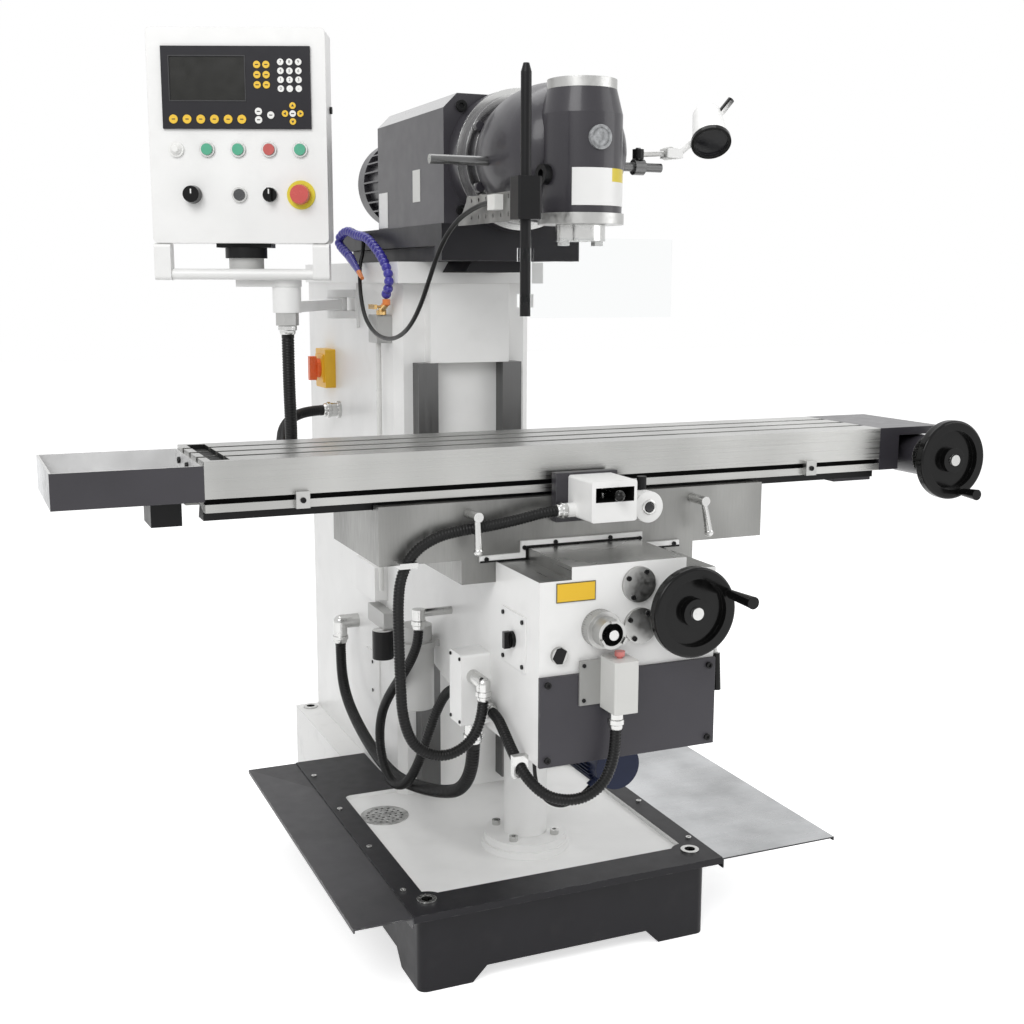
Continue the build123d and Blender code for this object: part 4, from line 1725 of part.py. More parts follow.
def make_lock(index, swing):
    x, z = LOCK_PLACES[index]
    y = SADDLE_FRONT - SLIDE_GAP
    arm_y = y - LOCK_REACH
    lock = rod((x, SADDLE_FRONT + LOCK_SHAFT_DEPTH - 2, z), (x, y, z), LOCK_SHAFT_RADIUS)
    lock += rod((x, y, z), (x, arm_y - LOCK_HUB_END, z), LOCK_HUB_RADIUS)
    a = math.radians(swing)
    tip = (x + LOCK_LENGTH * math.sin(a), arm_y, z - LOCK_LENGTH * math.cos(a))
    lock += rod((x, arm_y, z), tip, LOCK_ARM_RADIUS, LOCK_ARM_END)
    return lock + Pos(*tip) * Sphere(LOCK_BALL_RADIUS)


def make_feed_box():
    plate = span(-FEED_PLATE_HALF, FEED_PLATE_HALF, FEED_BOX_REAR, SADDLE_FRONT, *FEED_PLATE_HEIGHTS)
    box = rounded(span(*FEED_BOX_SPAN, FEED_BOX_FRONT, FEED_BOX_REAR, *FEED_BOX_HEIGHTS), Axis.Y, BOX_CORNER)
    window_rear = FEED_BOX_FRONT + FEED_WINDOW_DEPTH
    box -= span(*FEED_WINDOW_SPAN, FEED_BOX_FRONT - 1, window_rear, *FEED_WINDOW_HEIGHTS)
    low, high = feed_pin_ends()
    axis = (FEED_PIVOT_X, FEED_PIVOT_Y)
    box -= rod((*axis, low - 1), (*axis, high + 1), FEED_PIN_RADIUS + RUNNING_FIT)
    gx, gy, gz = ROUTE_A[0]
    box += rod((FEED_BOX_SPAN[0], gy, gz), (gx, gy, gz), GLAND_RADIUS)
    oiler_front = SADDLE_FRONT - OILER_DEPTH
    oiler = rod((OILER_X, SADDLE_FRONT, OILER_Z), (OILER_X, oiler_front, OILER_Z), OILER_RADIUS)
    cap = (OILER_X, SADDLE_FRONT - OILER_CAP_Y)
    oiler += rod((*cap, OILER_CAP_HEIGHTS[0]), (*cap, OILER_CAP_HEIGHTS[1]), OILER_CAP_RADIUS)
    a = Vector(*ROUTE_A[6])
    b = Vector(*ROUTE_A[7])
    middle = (a + b) * 0.5
    w = HOSE_CLIP_HALF
    t = HOSE_CLIP_THICKNESS / 2
    clip_front = middle.Y - HOSE_CLIP_FRONT
    clip = span(middle.X - w, middle.X + w, clip_front, SADDLE_FRONT, middle.Z - t, middle.Z + t)
    clip -= rod(a, b, CONDUIT_RADIUS + CLIP_GAP)
    return group(box + plate, make_wiper(), oiler, clip)


def feed_pin_ends():
    """Heights of the feed lever's pin, above and below the window."""
    low, high = FEED_WINDOW_HEIGHTS
    return (low - FEED_PIN_OVERLAP, high + FEED_PIN_OVERLAP - 1)


def make_wiper():
    """Stepped wiper frame that follows the top of the knee."""
    t = WIPER_WIDTH
    way = KNEE_WAY_WIDTH / 2 + WIPER_GAP
    low = KNEE_TOP + WIPER_GAP
    high = KNEE_WAY_TOP + WIPER_GAP
    wide = KNEE_HALF + SADDLE_LEG_WIDTH / 2
    outline = [(-wide, low), (-way, low), (-way, high), (way, high), (way, low), (wide, low),
               (wide, low + t), (way + t, low + t), (way + t, high + t),
               (-way - t, high + t), (-way - t, low + t), (-wide, low + t)]
    face = SADDLE_FRONT - WIPER_THICKNESS
    frame = prism_y(outline, face, SADDLE_FRONT)
    for side in (-1, 1):
        for x, z in ((wide - t, low + t / 2), (way + t / 2, high), (way / 2, high + t / 2)):
            frame += screw_head((side * x, face, z), (0, -1, 0), WIPER_SCREW_RADIUS, WIPER_SCREW_HEAD)
    return frame


def make_feed_lever():
    low, high = feed_pin_ends()
    axis = (FEED_PIVOT_X, FEED_PIVOT_Y)
    ball_y = FEED_PIVOT_Y - FEED_LEVER_LENGTH
    lever = rod((*axis, low), (*axis, high), FEED_PIN_RADIUS)
    lever += rod((*axis, FEED_PIVOT_Z), (FEED_PIVOT_X, ball_y, FEED_PIVOT_Z), FEED_PIN_RADIUS)
    return lever + Pos(FEED_PIVOT_X, ball_y - FEED_PIN_RADIUS, FEED_PIVOT_Z) * Sphere(FEED_BALL_RADIUS)


# Table

def make_table():
    e = TABLE_END
    body = span(-e, e, TABLE_FRONT, TABLE_REAR, RAIL_BOTTOM, TABLE_TOP)
    body -= span(-e - 1, e + 1, TABLE_FRONT - 1, TABLE_FRONT + TABLE_GROOVE_DEPTH, RAIL_TOP, GROOVE_TOP)
    body += span(-e, e, TABLE_FRONT + TABLE_INSET, TABLE_REAR - TABLE_INSET, TABLE_BOTTOM, RAIL_BOTTOM)
    g = 2 * SLIDE_GAP
    dovetail = trapezoid(TABLE_MID, DOVETAIL_NARROW + g, DOVETAIL_WIDE + g, SADDLE_DECK,
                         SADDLE_DECK + DOVETAIL_HEIGHT + SLIDE_GAP)
    body -= prism_x(dovetail, -e - 1, e + 1)
    neck = SLOT_NECK / 2
    head = SLOT_HEAD / 2
    for i in (-1, 0, 1):
        y = TABLE_MID + i * SLOT_PITCH
        body -= span(-e - 1, e + 1, y - neck, y + neck, TABLE_TOP - SLOT_NECK_DEPTH - 1, TABLE_TOP + 1)
        body -= span(-e - 1, e + 1, y - head, y + head, TABLE_TOP - SLOT_NECK_DEPTH - SLOT_HEAD_DEPTH,
                     TABLE_TOP - SLOT_NECK_DEPTH)
    x0 = -e + GUTTER_INSET
    body -= span(x0, x0 + GUTTER_WIDTH, TABLE_FRONT + GUTTER_INSET, TABLE_REAR - GUTTER_INSET,
                 TABLE_TOP - GUTTER_DEPTH, TABLE_TOP + 1)
    return body


def make_tray():
    x0 = -TABLE_END - TRAY_LENGTH
    top = TABLE_TOP - TRAY_DROP
    low = top - TRAY_HEIGHT
    w = TRAY_WALL
    tray = span(x0, -TABLE_END, TABLE_FRONT, TABLE_REAR, low, top)
    tray -= span(x0 + w, -TABLE_END - w, TABLE_FRONT + w, TABLE_REAR - w, low + w, top + 1)
    start, end = TRAY_FOOT_SPAN
    y0 = TABLE_MID - END_FOOT_HALF
    y1 = TABLE_MID + END_FOOT_HALF
    return tray + span(-TABLE_END - end, -TABLE_END - start, y0, y1, TABLE_BOTTOM - END_FOOT_DROP, low)


def make_end_bracket():
    e = TABLE_END
    x1 = e + BRACKET_LENGTH
    recess = TABLE_FRONT + BRACKET_RECESS
    low = TABLE_BOTTOM - END_FOOT_DROP
    y0 = TABLE_MID - END_FOOT_HALF
    y1 = TABLE_MID + END_FOOT_HALF
    bracket = span(e, e + BRACKET_BLOCK, TABLE_FRONT, TABLE_REAR, RAIL_BOTTOM, TABLE_TOP)
    bracket += span(e, x1, TABLE_FRONT, TABLE_REAR, TABLE_TOP - BRACKET_PLATE, TABLE_TOP)
    bracket += span(e, x1, recess, TABLE_REAR, RAIL_BOTTOM, TABLE_TOP)
    bracket += span(e - END_FOOT_LENGTH, e, y0, y1, low, TABLE_BOTTOM)
    return bracket + span(e, e + BRACKET_BLOCK, y0, y1, low, RAIL_BOTTOM)


def make_dog(x):
    """Stop dog on the table's front, keyed in the groove."""
    w = DOG_HALF
    k = DOG_KEY_HALF
    block = span(x - w, x + w, TABLE_FRONT - w, TABLE_FRONT, RAIL_BOTTOM, GROOVE_TOP + DOG_RISE)
    return block + span(x - k, x + k, TABLE_FRONT, TABLE_FRONT + TABLE_GROOVE_DEPTH, RAIL_TOP, GROOVE_TOP)


def make_table_ends():
    x = X_WHEEL_X
    z = X_WHEEL_Z
    recess = TABLE_FRONT + BRACKET_RECESS
    bush_front = TABLE_FRONT - BUSH_PROUD
    bore = rod((x, bush_front - 1, z), (x, recess + X_SHAFT_DEPTH, z), WHEEL_SHAFT + RUNNING_FIT)
    bush = rod((x, recess, z), (x, bush_front, z), BUSH_RADIUS) - bore
    return group(make_tray(), make_end_bracket() - bore, bush, *[make_dog(dog_x) for dog_x in DOG_PLACES])


def make_x_wheel():
    shaft_end = TABLE_FRONT + BRACKET_RECESS + X_SHAFT_DEPTH - 2
    wheel = make_handwheel(X_WHEEL_X, X_WHEEL_Z, X_WHEEL_FACE, X_GRIP_ANGLE, X_GRIP_LENGTH, shaft_end)
    collar = TABLE_FRONT - BUSH_PROUD - SLIDE_GAP
    back = X_WHEEL_FACE + WHEEL_THICKNESS
    return wheel + rod((X_WHEEL_X, collar, X_WHEEL_Z), (X_WHEEL_X, back, X_WHEEL_Z), X_COLLAR_RADIUS)


# Loops that ride on the knee

def make_knee_conduits():
    loop = ribbed_tube(ROUTE_C, CONDUIT_RADIUS)
    stop = ribbed_tube(ROUTE_D, CONDUIT_RADIUS)
    return group(loop, stop, plain_tube(LEAD_ROUTE, LEAD_RADIUS))


NODES = {
    "base": make_base,
    "deck_fittings": make_deck_fittings,
    "wings": make_wings,
    "pedestal": make_pedestal,
    "column": make_column,
    "column_ways": make_column_ways,
    "column_fittings": make_column_fittings,
    "switch_handle": make_switch_handle,
    "coolant_pipe": make_coolant_pipe,
    "coolant_tap": make_coolant_tap,
    "coolant_hose": make_coolant_hose,
    "panel_arm": make_panel_arm,
    "panel_box": make_panel_box,
    "readout": make_readout,
    "panel_bezels": make_panel_bezels,
    "start_button": lambda: make_panel_button(1),
    "feed_button": lambda: make_panel_button(2),
    "stop_button": lambda: make_panel_button(3),
    "return_button": lambda: make_panel_button(4),
    "jog_button": lambda: make_panel_button(6),
    "speed_knob": make_speed_knob,
    "selector_knob": make_selector_knob,
    "panel_estop": make_panel_estop,
    "ram": make_ram,
    "gearbox": make_gearbox,
    "drive_motor": make_drive_motor,
    "swivel_ring": make_swivel_ring,
    "elbow": make_elbow,
    "head": make_head,
    "head_trim": make_head_trim,
    "head_handles": make_head_handles,
    "guard_bracket": make_guard_bracket,
    "guard_bar": make_guard_bar,
    "guard_shield": make_guard_shield,
    "lamp_arm": make_lamp_arm,
    "lamp_head": make_lamp_head,
    "spindle": make_spindle,
    "knee": make_knee,
    "knee_cover": make_knee_cover,
    "knee_boxes": make_knee_boxes,
    "knee_motors": make_knee_motors,
    "lift_screw": make_lift_screw,
    "cross_wheel": make_cross_wheel,
    "knee_crank": make_knee_crank,
    "knee_estop": make_knee_estop,
    "feed_knob": make_feed_knob,
    "knee_lever": make_knee_lever,
    "saddle": make_saddle,
    "feed_box": make_feed_box,
    "feed_lever": make_feed_lever,
    "lock_left": lambda: make_lock(0, 2),
    "lock_right": lambda: make_lock(1, 12),
    "table": make_table,
    "table_ends": make_table_ends,
    "x_wheel": make_x_wheel,
    "conduit_a": lambda: ribbed_tube(ROUTE_A, CONDUIT_RADIUS),
    "conduit_b": lambda: ribbed_tube(ROUTE_B, BIG_CONDUIT_RADIUS),
    "knee_conduits": make_knee_conduits,
    "conduit_e": lambda: ribbed_tube(ROUTE_E, BIG_CONDUIT_RADIUS),
    "interlock_cable": lambda: plain_tube(INTERLOCK_ROUTE, CABLE_RADIUS),
}

os.makedirs("parts", exist_ok=True)
for name, make in NODES.items():
    export_step(make(), f"parts/{name}.step")
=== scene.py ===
# %% [markdown]
# A milling machine with a swivelling head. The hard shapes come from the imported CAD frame, so this lesson is
# about what CAD doesn't give: the finishes, the hoses, and the small things that make a machine look used.
# Everything is in metres, in the frame's own axes: +X to the operator's right, +Y to the column, +Z up.
# Places on the machine are written in millimetres, as on a drawing, and turned into metres where they are
# used.

# %% Load the frame
import math
import bpy
from mathutils import Matrix, Vector


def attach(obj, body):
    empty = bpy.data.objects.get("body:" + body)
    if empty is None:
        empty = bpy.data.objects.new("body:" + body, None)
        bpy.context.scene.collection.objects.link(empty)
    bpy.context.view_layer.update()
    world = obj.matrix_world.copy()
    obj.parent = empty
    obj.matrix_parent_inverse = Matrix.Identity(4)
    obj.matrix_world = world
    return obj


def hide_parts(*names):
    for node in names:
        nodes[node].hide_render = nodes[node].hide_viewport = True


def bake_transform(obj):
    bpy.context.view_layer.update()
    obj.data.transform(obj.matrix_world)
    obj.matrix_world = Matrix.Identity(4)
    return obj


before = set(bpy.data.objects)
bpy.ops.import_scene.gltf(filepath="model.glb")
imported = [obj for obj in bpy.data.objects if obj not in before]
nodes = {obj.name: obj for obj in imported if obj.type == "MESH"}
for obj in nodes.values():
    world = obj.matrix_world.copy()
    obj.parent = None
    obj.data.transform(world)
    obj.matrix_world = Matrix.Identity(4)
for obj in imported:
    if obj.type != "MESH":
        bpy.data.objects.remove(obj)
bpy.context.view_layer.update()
MM = 0.001

# %% [markdown]
# The photograph was solved for its camera: the machine's own long edges give the lens, the height and the
# angle. A camera with the same lens in the same place puts every CAD edge where the photograph has it.

# %% Camera at the photograph's place
PHOTO_PIXELS = 1024
FOCAL_PIXELS = 1334.4
CAMERA_PLACE = (-1.0825, -2.8453, 1.3333)
LOOK_DOWN = 9.86
ROLL = -0.19
YAW = -23.38
scene = bpy.context.scene
camera = bpy.data.objects.new("camera", bpy.data.cameras.new("camera"))
scene.collection.objects.link(camera)
camera.location = CAMERA_PLACE
camera.rotation_euler = [math.radians(angle) for angle in (90.0 - LOOK_DOWN, ROLL, YAW)]
camera.data.sensor_width = 36.0
camera.data.lens = FOCAL_PIXELS / PHOTO_PIXELS * camera.data.sensor_width
scene.camera = camera
print("lens", round(camera.data.lens, 1))

# %% [markdown]
# Light is a plain studio: a white room, one large soft lamp over the left shoulder, a weaker one from the
# right and one above. The room is white to the camera and in reflections, but sheds only part of that as
# light, so that the white paint keeps its shading. The Light Path node tells the two uses apart.

# %% Studio light and floor
ROOM_LIGHT = 0.60
FLOOR_GREY = 0.86
FLOOR_GLOW = 0.62
FLOOR_SIZE = 40.0
LAMPS = (("key_lamp", (-2.6, -3.0, 3.6), (0.0, -0.3, 0.8), 2.2, 88),
         ("fill_lamp", (3.2, -2.6, 2.4), (0.2, -0.3, 0.8), 2.6, 40),
         ("top_lamp", (0.2, 0.4, 4.0), (0.0, -0.2, 0.9), 2.4, 45))
scene.view_settings.view_transform = "Standard"


def link(tree, a, b):
    tree.links.new(a, b)


def node(t, kind, **values):
    """A new shader node, with inputs set by name; an underscore stands for a space."""
    made = t.nodes.new("ShaderNode" + kind)
    for name, value in values.items():
        made.inputs[name.replace("_", " ")].default_value = value
    return made


def seen_white(t):
    """1 for what the camera sees directly, in a reflection or through clear plastic, else 0."""
    rays = node(t, "LightPath")
    seen = rays.outputs["Is Camera Ray"]
    for kind in ("Is Glossy Ray", "Is Transmission Ray"):
        either = node(t, "Math")
        either.operation = "MAXIMUM"
        link(t, seen, either.inputs[0])
        link(t, rays.outputs[kind], either.inputs[1])
        seen = either.outputs[0]
    return seen


world = bpy.data.worlds.new("studio")
scene.world = world
world.use_nodes = True
room = world.node_tree
sky = room.nodes["Background"]
sky.inputs["Color"].default_value = (1.0, 1.0, 1.0, 1.0)
level = node(room, "MapRange", To_Min=ROOM_LIGHT, To_Max=1.0)
link(room, seen_white(room), level.inputs["Value"])
link(room, level.outputs["Result"], sky.inputs["Strength"])


def soft_lamp(name, place, target, size, watts):
    """A large square lamp that faces a point."""
    lamp = bpy.data.objects.new(name, bpy.data.lights.new(name, "AREA"))
    scene.collection.objects.link(lamp)
    lamp.location = place
    lamp.rotation_euler = (Vector(target) - Vector(place)).to_track_quat("-Z", "Y").to_euler()
    lamp.data.size = size
    lamp.data.energy = watts


for lamp_row in LAMPS:
    soft_lamp(*lamp_row)

bpy.ops.object.select_all(action="DESELECT")
bpy.ops.mesh.primitive_plane_add(size=FLOOR_SIZE, location=(0.0, 0.0, 0.0))
floor = bpy.context.object
floor.name = "floor"
floor_paint = bpy.data.materials.new("pale_floor")
floor_paint.use_nodes = True
ft = floor_paint.node_tree
ft.nodes.clear()
out = node(ft, "OutputMaterial")
matt = node(ft, "BsdfDiffuse", Color=(FLOOR_GREY, FLOOR_GREY, FLOOR_GREY, 1.0))
glow = node(ft, "Emission", Strength=FLOOR_GLOW)
both = node(ft, "AddShader")
pick = node(ft, "MixShader")
link(ft, matt.outputs[0], both.inputs[0])
link(ft, glow.outputs[0], both.inputs[1])
link(ft, seen_white(ft), pick.inputs[0])
link(ft, matt.outputs[0], pick.inputs[1])
link(ft, both.outputs[0], pick.inputs[2])
link(ft, pick.outputs[0], out.inputs["Surface"])
floor.data.materials.append(floor_paint)
print("floor and lamps ready")

# %% [markdown]
# Every finish here starts from the same few nodes. Noise on Object coordinates gives clouds, ripple and tool
# lines, and a stretched Mapping turns it into streaks. The Bevel node gives the small round that every real
# edge has, and comparing it with the true normal finds those edges, so that wear sits on them. A mask from a
# plane lets one casting carry two paints, or a paint and a painted shade, with a clean line between them,
# wherever its triangles run.

# %% Nodes that the finishes share
PAINT_LINE = 0.0002


def new_finish(name):
    """A new material with its tree and its Principled shader."""
    mat = bpy.data.materials.new(name)
    mat.use_nodes = True
    t = mat.node_tree
    return mat, t, t.nodes["Principled BSDF"]


def feed(t, value, socket):
    """Give an input a number, a colour or another node's output."""
    if isinstance(value, float):
        socket.default_value = value
    elif isinstance(value, tuple):
        socket.default_value = (*value, 1.0)
    else:
        link(t, value, socket)


def noise(t, scale, detail=3.0, stretch=None):
    """Noise on Object coordinates, stretched where a stretch is given."""
    source = node(t, "TexCoord").outputs["Object"]
    if stretch is not None:
        mapping = node(t, "Mapping", Scale=stretch)
        link(t, source, mapping.inputs["Vector"])
        source = mapping.outputs["Vector"]
    n = node(t, "TexNoise", Scale=scale, Detail=detail)
    link(t, source, n.inputs["Vector"])
    return n.outputs["Fac"]


def ramp(t, source, low, low_colour, high, high_colour):
    """Colour ramp between two places."""
    r = node(t, "ValToRGB")
    for element, place, colour in zip(r.color_ramp.elements, (low, high), (low_colour, high_colour)):
        element.position = place
        element.color = (*colour, 1.0)
    link(t, source, r.inputs["Fac"])
    return r.outputs["Color"]


def patches(t, scale, detail, low, high):
    """Ragged patches: noise turned into a mask."""
    return ramp(t, noise(t, scale, detail), low, (0, 0, 0), high, (1, 1, 1))


def blend_to(t, amount, first, second, kind="MIX"):
    """Mix a colour with another by an amount; each may be a socket."""
    mix = node(t, "MixRGB")
    mix.blend_type = kind
    feed(t, amount, mix.inputs["Fac"])
    feed(t, first, mix.inputs["Color1"])
    feed(t, second, mix.inputs["Color2"])
    return mix.outputs["Color"]


def times(t, a, b):
    """Product of a socket and a socket or number."""
    product = node(t, "Math")
    product.operation = "MULTIPLY"
    feed(t, a, product.inputs[0])
    feed(t, b, product.inputs[1])
    return product.outputs[0]


def spread(t, source, low, high, into_low, into_high):
    """Map one range to another."""
    m = node(t, "MapRange", From_Min=low, From_Max=high, To_Min=into_low, To_Max=into_high)
    link(t, source, m.inputs["Value"])
    return m.outputs["Result"]


def along(t, source, direction):
    """Dot product of a vector socket with a direction or a socket."""
    dot = node(t, "VectorMath")
    dot.operation = "DOT_PRODUCT"
    link(t, source, dot.inputs[0])
    if isinstance(direction, tuple):
        dot.inputs[1].default_value = direction
    else:
        link(t, direction, dot.inputs[1])
    return dot.outputs["Value"]


def rounded(t, radius):
    """The normal with sharp edges rounded."""
    bevel = node(t, "Bevel", Radius=radius)
    bevel.samples = 4
    return bevel.outputs["Normal"]


def edge_mask(t, soft_normal):
    """White along sharp edges, where the rounded normal leaves the true one."""
    true_normal = node(t, "NewGeometry").outputs["True Normal"]
    return spread(t, along(t, soft_normal, true_normal), 0.97, 0.86, 0.0, 1.0)


def region(t, planes):
    """1 beyond every plane (normal, distance) in Object coordinates."""
    mask = 1.0
    for normal, distance in planes:
        reach = along(t, node(t, "TexCoord").outputs["Object"], normal)
        mask = times(t, spread(t, reach, distance - PAINT_LINE, distance + PAINT_LINE, 0.0, 1.0), mask)
    return mask


def relief(t, shader, height, strength, distance, under):
    """Bump from a height socket, on top of a rounded normal."""
    bump = node(t, "Bump", Strength=strength, Distance=distance)
    link(t, height, bump.inputs["Height"])
    link(t, under, bump.inputs["Normal"])
    link(t, bump.outputs["Normal"], shader.inputs["Normal"])


print("shared nodes ready")

# %% [markdown]
# Machine enamel is sprayed over filled iron. It is never one flat colour: it clouds a little, it has the fine
# ripple of sprayed paint, it gathers grey dust, and it thins to bare metal along handled edges. The dark
# castings have a gloss coat that picks up long pale reflections on their round forms. Black paint still
# reflects a white room, so most dark finishes have less shine than the pale ones.

# %% Enamel finishes
DUST_SHARE = 0.12
COAT_ROUGHNESS = 0.12
PAINT_ROUND = 0.0015
PAINT_BUMP = 0.001


def enamel(name, colour, cloud=0.06, rough=0.36, ripple=0.05, wear=None, grime=None, beyond=None, coat=0.0,
           shine=0.5):
    """Sprayed paint: clouds, ripple, rounded edges and, where asked, wear, dust and a second paint or painted
    shade.
    """
    mat, t, shader = new_finish(name)
    darker = tuple(c * (1.0 - cloud) for c in colour)
    paler = tuple(min(1.0, c * (1.0 + cloud * 0.5)) for c in colour)
    tint = ramp(t, noise(t, 7.0, 5.0), 0.3, darker, 0.7, paler)
    soft_normal = rounded(t, PAINT_ROUND)
    if beyond is not None:
        tint = blend_to(t, region(t, beyond[1]), tint, beyond[0])
    if grime is not None:
        tint = blend_to(t, times(t, patches(t, 16.0, 8.0, 0.56, 0.78), DUST_SHARE), tint, grime)
    if wear is not None:
        chips = times(t, edge_mask(t, soft_normal), patches(t, 60.0, 6.0, 0.46, 0.66))
        tint = blend_to(t, chips, tint, wear)
    link(t, tint, shader.inputs["Base Color"])
    relief(t, shader, noise(t, 420.0, 2.0), ripple, PAINT_BUMP, soft_normal)
    gloss = spread(t, noise(t, 30.0, 4.0), 0.0, 1.0, rough - 0.07, rough + 0.09)
    link(t, gloss, shader.inputs["Roughness"])
    shader.inputs["Specular IOR Level"].default_value = shine
    shader.inputs["Coat Weight"].default_value = coat
    shader.inputs["Coat Roughness"].default_value = COAT_ROUGHNESS
    return mat


WHITE = (0.83, 0.83, 0.82)
DECK = (0.011, 0.0105, 0.013)
WORN = (0.16, 0.16, 0.165)
DUST = (0.05, 0.05, 0.05)
white_enamel = enamel("white_enamel", WHITE, cloud=0.05, rough=0.34, grime=(0.5, 0.5, 0.48))
slate_enamel = enamel("slate_enamel", (0.034, 0.032, 0.038), cloud=0.16, wear=WORN, coat=0.25, shine=0.3)
# Only on faces that look up: a real gloss coat, and a colour lighter than the slate as painted sheen.
glossy_lit_top_enamel = enamel("glossy_lit_top_enamel", (0.045, 0.043, 0.050), cloud=0.16, rough=0.16, wear=WORN, coat=1.0)
cover_enamel = enamel("cover_enamel", (0.036, 0.034, 0.041), cloud=0.08, rough=0.46, wear=WORN, shine=0.4)
TAIL_PLANE = ((0.0, 1.0, 0.0), 0.2055)
WING_SHADE_LINE = ((0.841, 0.543, 0.0), -0.2663)
deck_look = dict(cloud=0.2, rough=0.42, wear=WORN, grime=DUST, shine=0.25)
deck_enamel = enamel("deck_enamel", DECK, **deck_look)
base_enamel = enamel("base_enamel", DECK, beyond=(WHITE, [TAIL_PLANE]), **deck_look)
# The left wing's rear corner, beyond a slanting line, is painted darker: painted shade.
wing_enamel = enamel("wing_enamel", (0.040, 0.039, 0.043), cloud=0.25, rough=0.44, wear=(0.5, 0.5, 0.5),
                     shine=0.4, grime=(0.09, 0.09, 0.09),
                     beyond=((0.018, 0.017, 0.020), [WING_SHADE_LINE]))
navy_enamel = enamel("navy_enamel", (0.004, 0.009, 0.034), cloud=0.2, wear=(0.03, 0.04, 0.08), shine=0.25)
grey_enamel = enamel("grey_enamel", (0.47, 0.47, 0.46), cloud=0.08, rough=0.42)
box_enamel = enamel("box_enamel", (0.60, 0.60, 0.58), cloud=0.06, rough=0.40)
shade_enamel = enamel("shade_enamel", (0.30, 0.30, 0.29), cloud=0.10, rough=0.42)
black_enamel = enamel("black_enamel", (0.006, 0.006, 0.0065), cloud=0.2, wear=(0.06, 0.06, 0.06), shine=0.2)
tray_enamel = enamel("tray_enamel", (0.66, 0.66, 0.66), cloud=0.30, rough=0.24, ripple=0.02)
label_plate = enamel("label_plate", (0.80, 0.80, 0.79), cloud=0.03, rough=0.30, ripple=0.01,
                     beyond=((0.66, 0.52, 0.02), [((1.0, 0.0, 0.0), 0.026), ((0.0, 0.0, 1.0), 1.503)]))
yellow_plate = enamel("yellow_plate", (0.10, 0.08, 0.02), cloud=0.05, rough=0.34, ripple=0.01,
                      beyond=((0.76, 0.47, 0.015), [((1.0, 0.0, 0.0), -0.1395), ((-1.0, 0.0, 0.0), 0.0685),
                                                    ((0.0, 0.0, 1.0), 0.7967), ((0.0, 0.0, -1.0), -0.8273)]))
print("enamels", [m.name for m in bpy.data.materials if m.name.endswith(("enamel", "plate"))])

# %% [markdown]
# Ground and turned steel shows the path of the wheel or the tool. A noise that is stretched a hundred times
# along one axis gives those fine parallel lines, in the roughness and in a shallow bump. The table is ground
# along its length, so its lines run along X. A second, very broad noise paints into the colour the soft bands
# of light and dark that bare metal reflects from a room: painted reflection. Stains break them up; on the
# bright sheet the large stains are painted reflection too.

# %% Steel finishes
SMOOTHEST = 0.03
STEEL_ROUND = 0.0010
STEEL_BUMP = 0.0005


def steel(name, colour, rough, stretch, lines=0.10, stain_and_reflection=0.06, patch_scale=11.0, bands=None):
    """Bare metal: tool lines, stains, rounded edges and, where asked, broad bands (stretch, darkest) of
    painted reflection.
    """
    mat, t, shader = new_finish(name)
    shader.inputs["Metallic"].default_value = 1.0
    dull = tuple(c * (1 - stain_and_reflection) for c in colour)
    tint = ramp(t, noise(t, patch_scale, 6.0), 0.34, dull, 0.68, colour)
    if bands is not None:
        # Painted reflection: broad soft bands of light and dark multiplied into the colour.
        broad = ramp(t, noise(t, 1.0, 2.0, bands[0]), 0.36, (bands[1],) * 3, 0.64, (1.0, 1.0, 1.0))
        tint = blend_to(t, 1.0, tint, broad, "MULTIPLY")
    link(t, tint, shader.inputs["Base Color"])
    grain = noise(t, 1.0, 4.0, stretch)
    gloss = spread(t, grain, 0.3, 0.7, max(SMOOTHEST, rough - 0.08), rough + 0.10)
    link(t, gloss, shader.inputs["Roughness"])
    relief(t, shader, grain, lines, STEEL_BUMP, rounded(t, STEEL_ROUND))
    return mat


ground_steel = steel("ground_steel", (0.54, 0.54, 0.525), 0.30, (5.0, 500.0, 500.0),
                     bands=((2.6, 0.0, 0.0), 0.66))
cast_grey = steel("cast_grey", (0.30, 0.30, 0.29), 0.40, (260.0, 260.0, 22.0), bands=((5.0, 3.0, 2.0), 0.55))
scraped_way = steel("scraped_way", (0.17, 0.17, 0.17), 0.36, (400.0, 400.0, 6.0),
                    bands=((0.0, 0.0, 5.0), 0.75))
knee_way = steel("knee_way", (0.50, 0.50, 0.49), 0.34, (300.0, 8.0, 300.0), bands=((9.0, 7.0, 0.0), 0.62))
turned_steel = steel("turned_steel", (0.50, 0.50, 0.49), 0.26, (90.0, 90.0, 900.0), lines=0.02)
satin_steel = steel("satin_steel", (0.46, 0.46, 0.45), 0.36, (140.0, 140.0, 140.0), lines=0.0)
bright_steel = steel("bright_steel", (0.58, 0.58, 0.57), 0.20, (120.0, 120.0, 120.0), lines=0.01)
joint_steel = steel("joint_steel", (0.66, 0.66, 0.65), 0.24, (6.0, 6.0, 6.0), lines=0.0)
bar_steel = steel("bar_steel", (0.16, 0.16, 0.16), 0.30, (8.0, 300.0, 300.0))
bracket_steel = steel("bracket_steel", (0.34, 0.34, 0.33), 0.42, (60.0, 60.0, 60.0), stain_and_reflection=0.4,
                      patch_scale=30.0)
# The bright sheet's large dark stain patches are painted reflection.
sheet_steel = steel("sheet_steel", (0.62, 0.63, 0.64), 0.30, (8.0, 60.0, 60.0), lines=0.03, stain_and_reflection=0.55,
                    patch_scale=4.0)
strainer_steel = steel("strainer_steel", (0.62, 0.62, 0.61), 0.40, (90.0, 90.0, 90.0), stain_and_reflection=0.4,
                       patch_scale=70.0)
brass = steel("brass", (0.70, 0.47, 0.20), 0.28, (150.0, 150.0, 400.0), lines=0.05)
print("steels", [m.name for m in bpy.data.materials if m.name.endswith("steel")])

